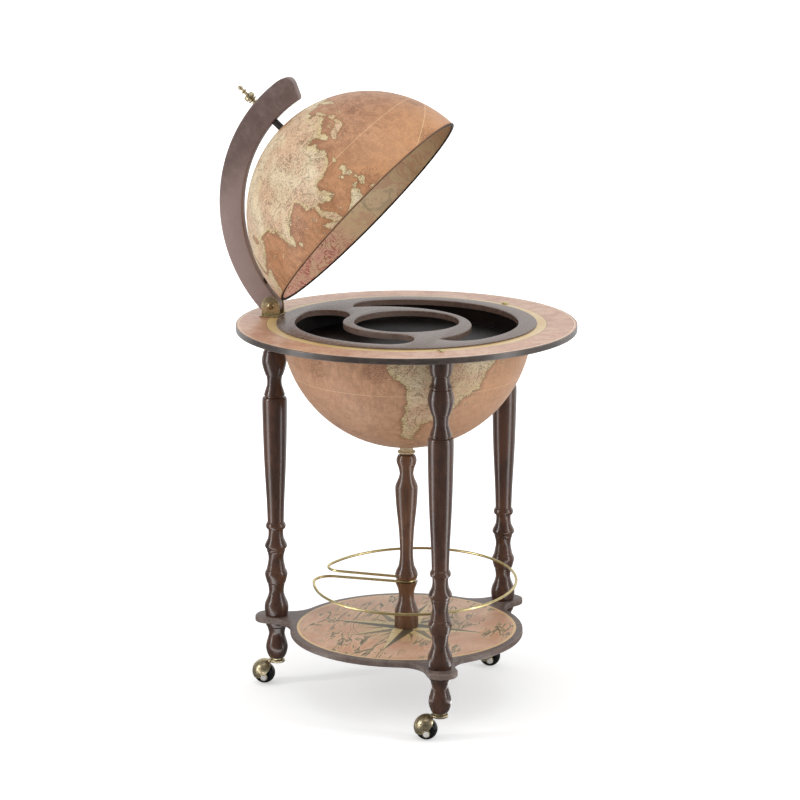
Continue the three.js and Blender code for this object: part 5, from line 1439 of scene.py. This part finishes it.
floor_finish = bpy.data.materials.new("floor")
tree = emptied(floor_finish)
grey = put(tree, "ShaderNodeBsdfDiffuse", {"Color": (0.78, 0.78, 0.78, 1)}).outputs[0]
pale = put(tree, "ShaderNodeBsdfDiffuse", {"Color": (0.8, 0.8, 0.8, 1)}).outputs[0]
own = tree.nodes.new("ShaderNodeTexCoord").outputs["Object"]
from_camera, mirrored = rays(tree)
floor_parts = parts_of(own)
floor_side = reckon("ARCTAN2", floor_parts[1], floor_parts[0])
lift = varied(between(steered("LENGTH", own)["Value"], 0.5, 1.5), 0.5, 0.45)
seen = added("ShaderNodeAddShader", [lit(lift), pale])[0]
# Painted reflection: for glossy rays the floor only glows, brightly in a strip towards each lamp and more
# towards the far side
lamp_sides = [math.atan2(lamp[1], lamp[0]) for lamp in (left_lamp, right_lamp)]
off_reflection_strips = reckon("MINIMUM", *[off_from(floor_side, side) for side in lamp_sides])
lamp_reflection_strips = times(between(off_reflection_strips, 0.24, 0.1), 3.8)
far_light = varied(between(floor_parts[0], 0.2, 1.6), 0.8, 0.2)
glow = lit(reckon("MAXIMUM", lamp_reflection_strips, far_light))
floor_shade = added("ShaderNodeMixShader", [mirrored, grey, glow])[0]
floor_shade = added("ShaderNodeMixShader", [from_camera, floor_shade, seen])[0]
put(tree, "ShaderNodeOutputMaterial", {0: floor_shade})
floor_mesh = bpy.data.meshes.new("floor")
floor_mesh.from_pydata([(-40, -40, 0), (40, -40, 0), (40, 40, 0), (-40, 40, 0)], [], [(0, 1, 2, 3)])
floor_mesh.materials.append(floor_finish)
floor = shown("floor", floor_mesh)

world = bpy.data.worlds.new("studio")
bpy.context.scene.world = world
tree = emptied(world)
from_camera, mirrored = rays(tree)
heading = parts_of(tree.nodes.new("ShaderNodeTexCoord").outputs["Generated"])[0]
backdrop = varied(between(heading, 0.1, 0.9), 0.86, 0.14)
sky_level = added("ShaderNodeMix", {0: mirrored, 2: 0.62, 3: backdrop})[0]
sky_level = added("ShaderNodeMix", {0: from_camera, 2: sky_level, 3: 1.0})[0]
put(tree, "ShaderNodeOutputWorld", {0: lit(sky_level, "ShaderNodeBackground")})


def softbox(name, place, aim, wide, high, power):
    """A large rectangular lamp that faces a point."""
    lamp = bpy.data.lights.new(name, "AREA")
    lamp.shape = "RECTANGLE"
    lamp.size = wide
    lamp.size_y = high
    lamp.energy = power
    thing = shown(name, lamp)
    thing.location = place
    thing.rotation_euler = (Vector(aim) - Vector(place)).to_track_quat("-Z", "Y").to_euler()


softbox("left lamp", left_lamp, (0, 0, 0.6), 0.4, 2.2, 30)
softbox("right lamp", right_lamp, (0, 0, 0.6), 0.4, 2.2, 25)
softbox("top lamp", (-0.3, -0.2, 3.2), (0, 0, 0.5), 2.4, 2.4, 19)

camera_data = bpy.data.cameras.new("camera")
camera_data.lens = 135.53
camera_data.sensor_width = 36
camera_data.clip_end = 200
camera = shown("camera", camera_data)
sight = Vector((0.9586, 0.2848, 0)).normalized()
sight.z = -math.tan(math.radians(13.06))
camera.location = (-4.642, -1.388, 1.633)
camera.rotation_euler = sight.to_track_quat("-Z", "Y").to_euler()
bpy.context.scene.camera = camera
bpy.context.scene.view_settings.view_transform = "Standard"
